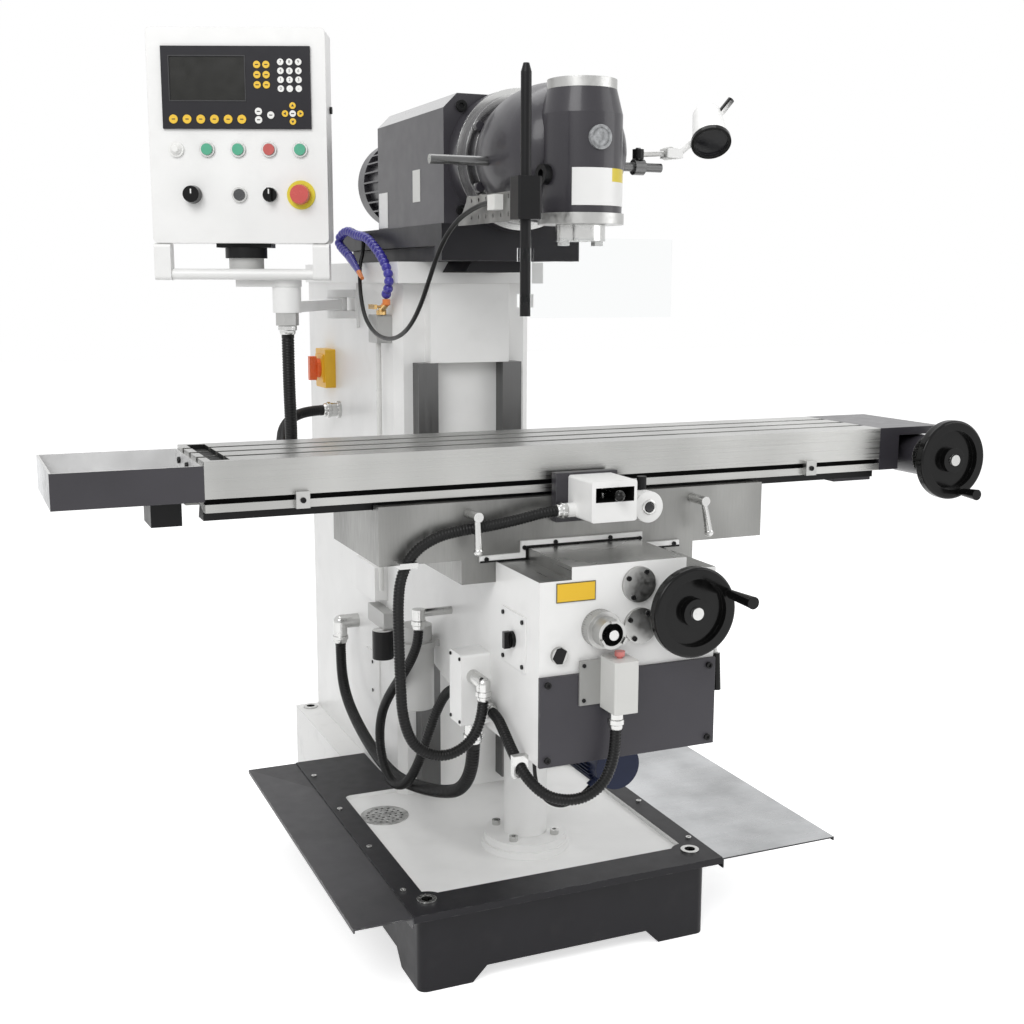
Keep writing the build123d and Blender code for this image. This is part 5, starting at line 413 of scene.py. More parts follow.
# %% [markdown]
# Plastics are coloured right through, so their colour hardly changes, but moulding leaves a fine grain and
# hands leave shine. A fine bump and a rough sheen make the conduits; a smooth surface makes the handwheels
# and push buttons. The guard is clear plastic, and only its edges and faint scratches show.

# %% Plastic finishes
PLASTIC_ROUND = 0.0008
PLASTIC_BUMP = 0.0006
GRAIN_SCALE = 260.0


def plastic(name, colour, rough=0.4, grain=0.08, cloud=0.08, wash=24.0, shine=0.5):
    """Moulded plastic: even colour, fine grain."""
    mat, t, shader = new_finish(name)
    shader.inputs["Specular IOR Level"].default_value = shine
    darker = tuple(c * (1 - cloud) for c in colour)
    link(t, ramp(t, noise(t, wash, 3.0), 0.3, darker, 0.7, colour), shader.inputs["Base Color"])
    gloss = spread(t, noise(t, 45.0, 3.0), 0.3, 0.7, max(SMOOTHEST, rough - 0.05), rough + 0.05)
    link(t, gloss, shader.inputs["Roughness"])
    relief(t, shader, noise(t, GRAIN_SCALE, 2.0), grain, PLASTIC_BUMP, rounded(t, PLASTIC_ROUND))
    return mat


wheel_black = plastic("wheel_black", (0.004, 0.004, 0.004), rough=0.16, grain=0.02, shine=0.22)
conduit_black = plastic("conduit_black", (0.007, 0.007, 0.007), rough=0.36, grain=0.05, shine=0.2)
rubber_black = plastic("rubber_black", (0.006, 0.006, 0.006), rough=0.6, shine=0.2)
panel_black = plastic("panel_black", (0.014, 0.0135, 0.017), rough=0.40, grain=0.02, shine=0.2)
screen_dark = plastic("screen_dark", (0.021, 0.021, 0.019), rough=0.22, grain=0.0, shine=0.2)
frame_grey = plastic("frame_grey", (0.030, 0.030, 0.032), rough=0.34, grain=0.02, shine=0.3)
mark_black = plastic("mark_black", (0.02, 0.018, 0.015), rough=0.5)
key_yellow = plastic("key_yellow", (0.80, 0.50, 0.02), rough=0.38)
key_white = plastic("key_white", (0.82, 0.82, 0.80), rough=0.38)
lens_white = plastic("lens_white", (0.84, 0.84, 0.82), rough=0.16, grain=0.02)
tube_white = plastic("tube_white", (0.72, 0.72, 0.70), rough=0.30, grain=0.02)
button_green = plastic("button_green", (0.085, 0.40, 0.25), rough=0.24, grain=0.02)
button_red = plastic("button_red", (0.52, 0.105, 0.095), rough=0.24, grain=0.02)
button_grey = plastic("button_grey", (0.055, 0.058, 0.060), rough=0.28, grain=0.02)
stop_red = plastic("stop_red", (0.58, 0.085, 0.075), rough=0.26, grain=0.02)
stop_pink = plastic("stop_pink", (0.72, 0.22, 0.20), rough=0.20, grain=0.02)
switch_orange = plastic("switch_orange", (0.76, 0.13, 0.025), rough=0.30, grain=0.03)
ring_yellow = plastic("ring_yellow", (0.74, 0.62, 0.03), rough=0.36)
switch_yellow = plastic("switch_yellow", (0.80, 0.46, 0.02), rough=0.36)
bead_blue = plastic("bead_blue", (0.040, 0.032, 0.30), rough=0.28, grain=0.03)
nozzle_orange = plastic("nozzle_orange", (0.78, 0.23, 0.05), rough=0.32, grain=0.03)
sight_grey = plastic("sight_grey", (0.42, 0.43, 0.44), rough=0.12, grain=0.02, cloud=0.6, wash=120.0)
glass_dark = plastic("glass_dark", (0.020, 0.020, 0.022), rough=0.08, grain=0.0, shine=0.4)
# Painted shade: near black for the inside of bores, slots and grooves.
cavity_shade = plastic("cavity_shade", (0.006, 0.006, 0.006), rough=0.7, shine=0.1)

clear_guard, guard_tree, guard_shader = new_finish("clear_guard")
guard_shader.inputs["Base Color"].default_value = (0.96, 0.97, 0.97, 1.0)
guard_shader.inputs["Transmission Weight"].default_value = 1.0
guard_shader.inputs["IOR"].default_value = 1.06
scuffs = noise(guard_tree, 3.0, 6.0, (6.0, 80.0, 20.0))
link(guard_tree, spread(guard_tree, scuffs, 0.0, 1.0, 0.02, 0.12), guard_shader.inputs["Roughness"])
print("plastics ready")

# %% [markdown]
# A CAD node is one mesh, but a real group often has several finishes: a dark cover with bright screws. Its
# shape stays as it is, and each face is given a material by where it lies. A rule is a material and a test on
# the face's centre and normal, and the first rule that fits wins.

# %% Rules that paint faces by place


def paint(name, base, *rules):
    """Give a node its materials: base, or the first rule whose test accepts a face."""
    mesh = nodes[name].data
    mesh.materials.clear()
    for mat in [base] + [rule[0] for rule in rules]:
        mesh.materials.append(mat)
    counts = [0] * (len(rules) + 1)
    for face in mesh.polygons:
        slot = 0
        for index, (mat, test) in enumerate(rules):
            if test(face.center / MM, face.normal):
                slot = index + 1
                break
        face.material_index = slot
        counts[slot] += 1
    if 0 in counts[1:]:
        print("unused rule in", name, counts)


def inside(finish, x0, x1, y0, y1, z0, z1):
    """Rule for face centres in a box."""
    return finish, lambda c, n: x0 <= c.x <= x1 and y0 <= c.y <= y1 and z0 <= c.z <= z1


def about(finish, x, z, radius, y0, y1):
    """Rule for face centres near a line along Y."""
    return finish, lambda c, n: y0 <= c.y <= y1 and math.hypot(c.x - x, c.z - z) <= radius


def top_of(finish, z0, z1):
    """Rule for faces that look up, between two heights."""
    return finish, lambda c, n: n.z > 0.9 and z0 <= c.z <= z1


print("rules ready")

# %% [markdown]
# The stand: a dark deck with a white recessed floor, a white tail under the column, one dark and one bright
# drip wing, and the white column with its grey ways. On the column's side sit the main switch, two boxes, a
# small pump and the coolant tap.

# %% Stand finishes
paint("base", base_enamel, top_of(white_enamel, 160, 168),
      (white_enamel, lambda c, n: 165 < c.z < 174 and abs(n.z) < 0.3 and abs(c.x) < 290 and -600 < c.y < 0))
paint("deck_fittings", bright_steel, inside(strainer_steel, -284, -174, -226, -116, 150, 180))
paint("wings", wing_enamel, (deck_enamel, lambda c, n: c.x > 300 and abs(n.z) < 0.8),
      inside(sheet_steel, 300, 700, -700, 300, 0, 200))
paint("column_fittings", white_enamel,
      # main switch base, then the two glands
      inside(switch_yellow, -200, -150, 390, 490, 1060, 1170),
      inside(bright_steel, -185, -160, 340, 390, 990, 1040),
      inside(bright_steel, -225, -160, 220, 260, 470, 525),
      # pump, lower box and the side plate's screws
      inside(black_enamel, -212, -160, -64, -12, 484, 551.5),
      inside(grey_enamel, -187, -160, -51, 71, 551, 593),
      inside(black_enamel, -166, -161.6, 100, 120, 355, 445))
paint("coolant_pipe", tube_white,
      # block, hose root, tap seat and the tail's clip
      inside(grey_enamel, -196, -159, -56, 8, 1196, 1258.5),
      inside(nozzle_orange, -200, -160, -110, -60, 1279, 1300),
      inside(brass, -200, -160, -110, 10, 1258.5, 1279),
      inside(bright_steel, -200, -160, -60, 10, 799, 813))
paint("coolant_hose", bead_blue, inside(nozzle_orange, -215, -170, 20, 75, 1325, 1363))
print("stand painted")

# %% [markdown]
# The operator panel hangs turned on its arm, so its places are easier to say in its own frame: how far right
# of its middle, how deep, and how far below its top. One turn about the arm's end carries a point between
# frames. The readout is a dark plate with yellow and white keys; the push buttons keep their own colours.

# %% Panel finishes
PANEL_AXIS = (-408.0, -125.0)
PANEL_TURN = math.radians(23.4)
PANEL_MIDDLE = -80.0
PANEL_TOP = 1816.0
PANEL_FRAME = (Matrix.Translation((PANEL_AXIS[0] * MM, PANEL_AXIS[1] * MM, 0.0))
               @ Matrix.Rotation(-PANEL_TURN, 4, "Z"))


def on_panel(c):
    """Machine millimetres to the panel's (right of middle, depth, below top)."""
    dx = c.x - PANEL_AXIS[0]
    dy = c.y - PANEL_AXIS[1]
    right = dx * math.cos(PANEL_TURN) - dy * math.sin(PANEL_TURN)
    deep = dx * math.sin(PANEL_TURN) + dy * math.cos(PANEL_TURN)
    return right - PANEL_MIDDLE, deep, PANEL_TOP - c.z


KEY_FRONT = -56.2
SCREEN_FLOOR = -55.4
ARROW_CENTRE = (110.0, 163.0)


def yellow_key(c, n):
    right, deep, down = on_panel(c)
    arrow = math.hypot(right - ARROW_CENTRE[0], down - ARROW_CENTRE[1])
    lower_row = right < 25 and down > 150
    cluster = 30 < right < 74 and down < 125
    return deep < KEY_FRONT and (lower_row or cluster or (8.5 < arrow < 26 and right > 80))


def white_key(c, n):
    return on_panel(c)[1] < KEY_FRONT


def screen_floor(c, n):
    right, deep, down = on_panel(c)
    return deep > SCREEN_FLOOR and -130 < right < 18 and 55 < down < 139 and n.y < -0.5


paint("panel_arm", white_enamel, inside(satin_steel, -440, -375, -160, -90, 1230, 1262))
paint("panel_box", white_enamel, inside(black_enamel, -545, -418, -142, -45, 1375.5, 1403.5),
      inside(grey_enamel, -520, -440, -130, -50, 1345.5, 1375.5),
      # the box's right side is painted black as painted shade
      (black_enamel, lambda c, n: on_panel(c)[0] > 175.3))
paint("panel_bezels", satin_steel, inside(ring_yellow, -420, -360, -206, -170, 1465, 1531),
      inside(lens_white, -640, -590, -300, 0, 1560, 1610))
paint("readout", panel_black, (key_yellow, yellow_key), (key_white, white_key), (screen_dark, screen_floor))
print("panel painted")

# %% [markdown]
# The gearbox, motor and head are slate castings with a gloss coat, on a darker ram. Where two of them turn on
# each other the faces are bare metal, so the ring and the elbow's flange each show one bright arc. Plates on
# the gearbox and the head are left blank.

# %% Ram and head finishes
SWIVEL_Z = 1565.0
SPINDLE_Y = -650.0
LAMP_REAR = -84.5
GLASS_RADIUS = 33.5
BEZEL_RADIUS = 41.0
LAMP_CENTRE = Vector((334.0, -542.0, 1596.0))
LAMP_AIM = Vector((-0.25, -0.64, -0.72)).normalized()


def from_swivel(c):
    return math.hypot(c.x, c.z - SWIVEL_Z)


def lamp_place(c):
    """Distance ahead of the lamp's front and away from its axis."""
    offset = c - LAMP_CENTRE
    ahead = offset.dot(LAMP_AIM)
    return ahead, (offset - LAMP_AIM * ahead).length


# The ram's faces that look up are painted much lighter than its sides: painted sheen on a real gloss coat.
paint("ram", deck_enamel, (glossy_lit_top_enamel, lambda c, n: n.z > 0.9))
paint("gearbox", slate_enamel,
      # two blank plates, the front bolts and the glossy top, painted a little lighter as painted sheen
      inside(box_enamel, -147, -145.3, -205, -157, 1489, 1557),
      inside(label_plate, -147, -145.3, 7, 71, 1443, 1523),
      inside(black_enamel, -150, 150, -360, -340.3, 1440, 1700),
      (glossy_lit_top_enamel, lambda c, n: n.z > 0.4))
paint("swivel_ring", slate_enamel, (joint_steel, lambda c, n: n.y < -0.9 and from_swivel(c) > 117))
paint("elbow", slate_enamel, (joint_steel, lambda c, n: n.y < -0.9 and c.y > -404 and from_swivel(c) > 100))
paint("head_trim", black_enamel,
      # cap, nose flange, sight glass and blank plate
      inside(satin_steel, -64, 64, -714, -586, 1662, 1682),
      inside(satin_steel, -79, 79, -729, -571, 1430, 1450.5),
      inside(sight_grey, -23, 23, -730, -715, 1554, 1600),
      inside(label_plate, -48, 72, -726, -666, 1461, 1527))
paint("head_handles", bar_steel, (bright_steel, lambda c, n: abs(c.x) > 230))
paint("guard_bracket", bracket_steel,
      # switch and clamp
      inside(tube_white, -178, -160, -676, -639, 1452, 1480),
      inside(black_enamel, -181, -135, -786, -740, 1431, 1505))
paint("lamp_arm", satin_steel, inside(black_enamel, 170, 206, -560, -480, 1500, 1600))
paint("lamp_head", white_enamel,
      # glass, bezel and grip
      (glass_dark, lambda c, n: lamp_place(c)[0] > -7.5 and lamp_place(c)[1] < GLASS_RADIUS),
      (wheel_black, lambda c, n: lamp_place(c)[0] > -9 and lamp_place(c)[1] < BEZEL_RADIUS),
      (wheel_black, lambda c, n: lamp_place(c)[0] < LAMP_REAR))
paint("spindle", bright_steel,
      # the bore, painted near black as painted shade
      (cavity_shade, lambda c, n: math.hypot(c.x, c.y - SPINDLE_Y) < 22 and c.z > 1410))
print("head painted")

# %% [markdown]
# The knee is white over a slate cover, with grey caps, dark screws and a machined top on which the saddle
# slides. Saddle and table are bare grey iron and ground steel. The end pieces of the table are painted dark
# outside, while the tray is bright inside, where chips and coolant wash it.

# %% Knee, saddle and table finishes
CAP_RADIUS = 32.6
CAPS = ((16, 815), (20, 741))
PLUG = (-136, 704)
CRANK = (-60, 745)
CROSS_WHEEL = (95, 770)
X_WHEEL = (797, 978)
NUT_RADIUS = 11.6
SHAFT_RADIUS = 15
paint("knee", white_enamel, top_of(joint_steel, 854, 860), top_of(knee_way, 832, 834),
      (knee_way, lambda c, n: 833 < c.z < 855 and abs(n.x) > 0.9 and abs(c.x) < 114))
paint("knee_cover", cover_enamel,
      # blank plate, the caps with their screws, the plug and the cover's own screws
      inside(yellow_plate, -143, -65, -863, -859, 793, 831),
      *(about(black_enamel, *place, CAP_RADIUS, -880, -866.1) for place in CAPS),
      *(about(satin_steel, *place, CAP_RADIUS, -867, -859) for place in CAPS),
      about(black_enamel, *PLUG, 9.5, -870, -859),
      about(satin_steel, *PLUG, 16, -870, -859),
      (black_enamel, lambda c, n: c.y < -867.2))
paint("knee_boxes", white_enamel,
      # the stop box with its gland, plate and screws
      inside(bright_steel, -60, -14, -930, -860, 585, 605.9),
      inside(box_enamel, -61, -13, -926, -871.2, 605, 699),
      inside(shade_enamel, -101, -36, -872, -866, 611, 693),
      inside(black_enamel, -101, -36, -880, -871, 611, 693),
      # side bracket, conduit clip and the junction box's fittings
      inside(bright_steel, -255, -172, -456, -426, 674, 700),
      inside(bright_steel, -202, -171, -820, -802, 474, 518),
      inside(bright_steel, -232, -172, -712, -645.2, 494, 640),
      inside(bright_steel, -232, -172, -584.8, -560, 494, 640),
      inside(bright_steel, -232, -172, -660, -570, 494, 519.8),
      # the lead's gland and the side plate's screws
      inside(black_enamel, -150, -126, -780, -756, 490, 509),
      inside(black_enamel, -182, -175.05, -808, -702, 659, 761))
paint("knee_motors", navy_enamel, inside(grey_enamel, -300, -100, -500, 0, 400, 700))
paint("cross_wheel", wheel_black, about(bright_steel, *CROSS_WHEEL, NUT_RADIUS, -990, -905),
      about(bright_steel, *CROSS_WHEEL, SHAFT_RADIUS, -905, 0))
paint("x_wheel", wheel_black, about(bright_steel, *X_WHEEL, NUT_RADIUS, -800, -730),
      about(bright_steel, *X_WHEEL, SHAFT_RADIUS, -728, 0))
paint("knee_crank", satin_steel, about(bright_steel, *CRANK, 9.4, -925, -800),
      # the dial's bore, painted near black as painted shade
      (cavity_shade, lambda c, n: math.hypot(c.x - CRANK[0], c.z - CRANK[1]) < 20.6 and -911.5 < c.y < -885))
paint("knee_lever", bright_steel, inside(wheel_black, 150, 260, -950, -700, 560, 668))
# Faces of the saddle that look down are painted dark deck enamel as painted shade.
paint("saddle", cast_grey, (deck_enamel, lambda c, n: n.z < -0.9))
paint("feed_box", white_enamel,
      # back plate, lever slot painted near black as painted shade, wiper screws, hose clip and oiler cap
      inside(slate_enamel, -63, 63, -691, -669, 899, 991),
      inside(cavity_shade, -30.5, 46.5, -784.5, -700, 947, 975),
      inside(black_enamel, -206, 206, -690, -676.2, 833, 869),
      inside(bright_steel, -368, -330, -708, -669, 838, 852),
      inside(black_enamel, 90, 118, -720, -690, 953, 980))
paint("feed_lever", wheel_black, (bright_steel, lambda c, n: c.y > -790))
paint("table", ground_steel,
      # gutter, underside edge, then dog groove and T slots painted near black as painted shade
      inside(rubber_black, -672, -638, -642, -414, 1028, 1037.7),
      (black_enamel, lambda c, n: c.z < 951.8 and abs(n.z) < 0.5),
      (cavity_shade, lambda c, n: 965.9 < c.z < 975.1 and c.y < -642.5
       or 1005 < c.z < 1017.5 and -640 < c.y < -416))
paint("table_ends", slate_enamel,
      # the tray's rim, inside and end, then its foot, the wheel's bush and the stop dogs
      (bright_steel, lambda c, n: c.x < -680 and n.z > 0.9 and c.z > 1030),
      inside(tray_enamel, -924, -688, -652, -404, 972, 1031),
      (sheet_steel, lambda c, n: c.x < -926 and n.x < -0.9),
      inside(black_enamel, -763, -707, -660, -400, 916, 970.8),
      inside(turned_steel, 754, 841, -674, -656, 934, 1022),
      inside(satin_steel, -536, 523, -668, -643, 951, 982))
print("knee, saddle and table painted")

# %% [markdown]
# The other nodes have one finish all over: plain castings, buttons, knobs and levers.

# %% Nodes of one finish
PLAIN = ((white_enamel, "pedestal column"), (slate_enamel, "drive_motor head"), (black_enamel, "guard_bar"),
         (scraped_way, "column_ways"), (turned_steel, "lift_screw"), (bright_steel, "lock_left lock_right"),
         (brass, "coolant_tap"), (clear_guard, "guard_shield"), (switch_orange, "switch_handle"),
         (button_green, "start_button feed_button return_button"), (button_red, "stop_button"),
         (button_grey, "jog_button"), (wheel_black, "speed_knob selector_knob feed_knob"),
         (stop_red, "panel_estop"), (stop_pink, "knee_estop"))
for finish, names in PLAIN:
    for name in names.split():
        paint(name, finish)
print("plain nodes painted")

# %% [markdown]
# The power cables run in corrugated conduit. A conduit is stiff: it leaves each gland straight, then hangs in
# one long curve. The route's points are the control points of a smooth spline, and the tube is built on
# points read from that spline, with a ring of vertices at each rib's root and crown.

# %% Tubes that follow a route


def spline_points(name, route):
    """Points along a smooth NURBS spline with the route as its control points, in metres."""
    curve = bpy.data.curves.new(name + "_line", "CURVE")
    curve.dimensions = "3D"
    curve.resolution_u = 24
    line = curve.splines.new("NURBS")
    line.points.add(len(route) - 1)
    for point, place in zip(line.points, route):
        point.co = (place[0] * MM, place[1] * MM, place[2] * MM, 1.0)
    line.order_u = 3
    line.use_endpoint_u = True
    holder = bpy.data.objects.new(name + "_line", curve)
    scene.collection.objects.link(holder)
    mesh = bpy.data.meshes.new_from_object(holder)
    points = [v.co.copy() for v in mesh.vertices]
    bpy.data.objects.remove(holder)
    bpy.data.meshes.remove(mesh)
    bpy.data.curves.remove(curve)
    return points


def path_length(points):
    return sum((b - a).length for a, b in zip(points, points[1:]))


def along_path(points, distances):
    """Places and directions at the given distances along a line of points."""
    found = []
    index = 0
    passed = 0.0
    for distance in distances:
        step = (points[index + 1] - points[index]).length
        while passed + step < distance and index < len(points) - 2:
            passed += step
            index += 1
            step = (points[index + 1] - points[index]).length
        share = min(1.0, max(0.0, (distance - passed) / step))
        before = points[max(index - 1, 0)]
        after = points[min(index + 2, len(points) - 1)]
        found.append((points[index].lerp(points[index + 1], share), (after - before).normalized()))
    return found


def ringed_tube(name, points, rings, sides):
    """A closed tube with one ring of vertices for each (distance, radius)."""
    stations = along_path(points, [d for d, r in rings])
    across = stations[0][1].orthogonal().normalized()
    vertices = []
    for (place, direction), (distance, radius) in zip(stations, rings):
        across = (across - direction * across.dot(direction)).normalized()
        other = direction.cross(across)
        for i in range(sides):
            angle = 2.0 * math.pi * i / sides
            vertices.append(place + (across * math.cos(angle) + other * math.sin(angle)) * radius)
    faces = []
    for k in range(len(rings) - 1):
        for i in range(sides):
            j = (i + 1) % sides
            faces.append((k * sides + i, k * sides + j, (k + 1) * sides + j, (k + 1) * sides + i))
    faces.append(tuple(range(sides - 1, -1, -1)))
    last = (len(rings) - 1) * sides
    faces.append(tuple(range(last, last + sides)))
    mesh = bpy.data.meshes.new(name)
    mesh.from_pydata([tuple(v) for v in vertices], [], faces)
    mesh.update()
    tube = bpy.data.objects.new(name, mesh)
    scene.collection.objects.link(tube)
    mesh.materials.append(conduit_black)
    for face in mesh.polygons:
        face.use_smooth = len(face.vertices) == 4
    return tube


RIB_PITCH = 0.0056
RIB_DEPTH = 0.0011


def conduit(name, route, radius):
    """Corrugated conduit: ribs all along, plain ends inside the glands."""
    points = spline_points(name, route)
    length = path_length(points)
    count = int((length - 4 * radius) / RIB_PITCH)
    pitch = (length - 4 * radius) / count
    rings = [(0.0, radius)]
    for i in range(count):
        start = 2 * radius + i * pitch
        rings += [(start, radius), (start + 0.18 * pitch, radius - RIB_DEPTH),
                  (start + 0.42 * pitch, radius - RIB_DEPTH), (start + 0.60 * pitch, radius)]
    rings.append((length, radius))
    tube = ringed_tube(name, points, rings, 18)
    print(name, "length", round(length, 3))
    return tube


def plain_lead(name, route, radius, steps):
    """Smooth round cable."""
    points = spline_points(name, route)
    length = path_length(points)
    tube = ringed_tube(name, points, [(length * i / steps, radius) for i in range(steps + 1)], 14)
    print(name, "length", round(length, 3))
    return tube


# %% [markdown]
# Seven runs: saddle to knee, column to knee, two short loops on the knee, panel arm to column, the guard
# switch's lead and the feed motor's lead. The loops and the lead on the knee ride on the knee; the others
# are fixed where they are made.

# %% Conduits and leads
ROUTE_A = [(-54, -714, 926), (-92, -714, 926), (-140, -703, 913), (-195, -694, 903), (-246, -692, 899),
           (-294, -692, 891), (-337, -692, 867), (-361, -692, 824), (-366, -692, 773), (-365, -692, 710),
           (-363, -692, 640), (-360, -692, 566), (-337, -692, 508), (-281, -694, 484), (-230, -696, 507),
           (-207, -696, 560), (-207, -696, 602)]
ROUTE_B = [(-205, 240, 472), (-205, 240, 424), (-208, 222, 378), (-212, 184, 345), (-217, 122, 323),
           (-222, 40, 306), (-227, -55, 294), (-230, -155, 286), (-231, -245, 287), (-230, -320, 297),
           (-226, -388, 311), (-220, -452, 326), (-212, -512, 343), (-204, -564, 364), (-198, -600, 400),
           (-195, -617, 448), (-195, -617, 495)]
ROUTE_C = [(-240, -441, 676), (-240, -441, 638), (-248, -428, 600), (-257, -402, 562), (-265, -362, 522),
           (-268, -320, 482), (-268, -282, 440), (-267, -260, 388), (-266, -274, 336), (-263, -320, 302),
           (-257, -376, 312), (-249, -412, 342), (-240, -442, 390), (-229, -459, 444), (-214, -468, 497),
           (-201, -491, 540), (-194, -526, 556), (-194, -562, 556)]
ROUTE_D = [(-42, -896, 591), (-42, -896, 553), (-46, -895, 512), (-64, -892, 470), (-108, -888, 448),
           (-160, -874, 456), (-184, -836, 482), (-187, -786, 511), (-187, -742, 539), (-186, -707, 556),
           (-186, -670, 556)]
ROUTE_E = [(-408, -125, 1240), (-408, -125, 1176), (-407, -122, 1110), (-403, -113, 1040), (-398, -92, 980),
           (-392, -52, 938), (-384, 2, 918), (-374, 66, 913), (-362, 130, 922), (-350, 192, 938),
           (-336, 252, 958), (-318, 306, 982), (-284, 347, 1004), (-234, 366, 1015), (-184, 366, 1015)]
SWITCH_ROUTE = [(-171, -641, 1466), (-171, -616, 1466), (-172, -588, 1463), (-175, -552, 1456),
                (-180, -510, 1443), (-186, -467, 1418), (-192, -432, 1382), (-198, -404, 1338),
                (-202, -368, 1290), (-205, -318, 1248), (-206, -255, 1222), (-206, -185, 1211),
                (-206, -115, 1213), (-205, -52, 1226), (-203, 4, 1252), (-197, 50, 1292),
                (-188, 88, 1334), (-176, 122, 1370), (-160, 146, 1398), (-160, 146, 1424)]
MOTOR_ROUTE = [(-138, -768, 496), (-138, -768, 472), (-135, -769, 445), (-126, -770, 420), (-109, -771, 400),
               (-84, -771, 390), (-62, -770, 394), (-43, -769, 405), (-26, -768, 419)]
THIN_RADIUS = 0.010
WIDE_RADIUS = 0.013
MOTOR_RADIUS = 0.0035
SWITCH_RADIUS = 0.0045

saddle_conduit = conduit("saddle_conduit", ROUTE_A, THIN_RADIUS)
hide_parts("conduit_a")
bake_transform(saddle_conduit)
column_conduit = conduit("column_conduit", ROUTE_B, WIDE_RADIUS)
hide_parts("conduit_b")
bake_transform(column_conduit)
loop_conduit = conduit("loop_conduit", ROUTE_C, THIN_RADIUS)
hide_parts("knee_conduits")
stop_conduit = conduit("stop_conduit", ROUTE_D, THIN_RADIUS)
motor_lead = plain_lead("motor_lead", MOTOR_ROUTE, MOTOR_RADIUS, 48)
for run in (loop_conduit, stop_conduit, motor_lead):
    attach(run, "knee_unit")
arm_conduit = conduit("arm_conduit", ROUTE_E, WIDE_RADIUS)
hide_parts("conduit_e")
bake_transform(arm_conduit)
interlock_lead = plain_lead("interlock_lead", SWITCH_ROUTE, SWITCH_RADIUS, 160)
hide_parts("interlock_cable")
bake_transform(interlock_lead)

# %% [markdown]
# Small hard pieces are modelled as on a lathe or a mill. A turned piece starts as a flat disc that is drawn
# up ring by ring in edit mode: extrude, then scale to the next radius. A milled piece starts as a cube at its
# size and gets its edges bevelled. A piece made at the origin is moved to its place, which is then applied.

# %% Lathe, mill and fitting


def deselect():
    bpy.ops.object.select_all(action="DESELECT")


def alone(piece):
    """Select one piece and make it active."""
    deselect()
    piece.select_set(True)
    bpy.context.view_layer.objects.active = piece


def edit():
    """Enter edit mode with everything selected."""
    bpy.ops.object.mode_set(mode="EDIT")
    bpy.ops.mesh.select_all(action="SELECT")


def close_edit():
    """Turn all faces outward and leave edit mode."""
    bpy.ops.mesh.select_all(action="SELECT")
    bpy.ops.mesh.normals_make_consistent(inside=False)
    bpy.ops.object.mode_set(mode="OBJECT")


def draw_up(rise):
    """Extrude what is selected along Z, in millimetres."""
    bpy.ops.mesh.extrude_region_move(TRANSFORM_OT_translate={"value": (0.0, 0.0, rise * MM)})


def turned(rings, sides=24):
    """A round piece about Z from (radius, height) rings, in millimetres."""
    deselect()
    radius, height = rings[0]
    bpy.ops.mesh.primitive_circle_add(vertices=sides, radius=radius * MM, fill_type="NGON",
                                      location=(0.0, 0.0, height * MM))
    bpy.ops.object.transform_apply(location=True)
    edit()
    for next_radius, next_height in rings[1:]:
        draw_up(next_height - height)
        share = next_radius / radius
        bpy.ops.transform.resize(value=(share, share, 1.0), center_override=(0.0, 0.0, next_height * MM))
        radius, height = next_radius, next_height
    close_edit()
    return bpy.context.object


def milled(low, high, bevel):
    """A block between two corners with bevelled edges, in millimetres."""
    deselect()
    centre = [(a + b) / 2 * MM for a, b in zip(low, high)]
    size = [(b - a) * MM for a, b in zip(low, high)]
    bpy.ops.mesh.primitive_cube_add(size=1.0, location=centre, scale=size)
    bpy.ops.object.transform_apply(location=True, rotation=True, scale=True)
    edit()
    bpy.ops.mesh.bevel(offset=bevel * MM, segments=2, affect="EDGES")
    bpy.ops.object.mode_set(mode="OBJECT")
    return bpy.context.object


def settle(piece, matrix):
    """Move a piece by a matrix and apply it, so that its place is in its mesh."""
    alone(piece)
    piece.matrix_world = matrix @ piece.matrix_world
    bpy.context.view_layer.update()
    bpy.ops.object.transform_apply(location=True, rotation=True, scale=True)
    return piece


def facing(place, axis):
    """Matrix that stands a piece made along Z on a place, in millimetres, along an axis."""
    turn = Vector(axis).to_track_quat("Z", "Y").to_matrix().to_4x4()
    return Matrix.Translation(Vector(place) * MM) @ turn


def copy_of(piece):
    twin = piece.copy()
    twin.data = piece.data.copy()
    scene.collection.objects.link(twin)
    return twin


def joined(pieces):
    """One mesh from several."""
    deselect()
    for piece in pieces:
        piece.select_set(True)
    bpy.context.view_layer.objects.active = pieces[0]
    bpy.ops.object.join()
    return pieces[0]


def fit(piece, name, body, finish):
    """Name a piece, give it its finish and let it ride on a body."""
    alone(piece)
    piece.name = name
    piece.data.name = name
    piece.data.materials.clear()
    piece.data.materials.append(finish)
    bpy.ops.object.shade_smooth_by_angle(angle=math.radians(35.0))
    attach(piece, body)


def repeated(model, matrices):
    """Copies of a model at several places, joined; the model itself goes to the first place."""
    copies = [model] + [copy_of(model) for _ in matrices[1:]]
    return joined([settle(piece, matrix) for piece, matrix in zip(copies, matrices)])


print("lathe and mill ready")

# %% [markdown]
# Each conduit ends in a cable gland: a twelve-sided nut with a rounded cap that grips the tube. One model is
# turned for each tube size and stood at every end, along the direction in which the tube leaves.

# %% Cable glands


def gland(radius):
    """Gland nut for a tube of a radius in millimetres."""
    r = radius * 1.5
    return turned([(r * 0.93, 0.0), (r, 1.2), (r, 9.0), (r * 0.93, 10.2), (r * 0.84, 10.2), (r * 0.84, 15.0),
                   (r * 0.78, 18.0), (r * 0.70, 19.0)], sides=12)


def tube_end(route, last=False):
    """Matrix at a route's first or last point, along the way out."""
    a, b = (route[-1], route[-2]) if last else (route[0], route[1])
    return facing(a, Vector(b) - Vector(a))


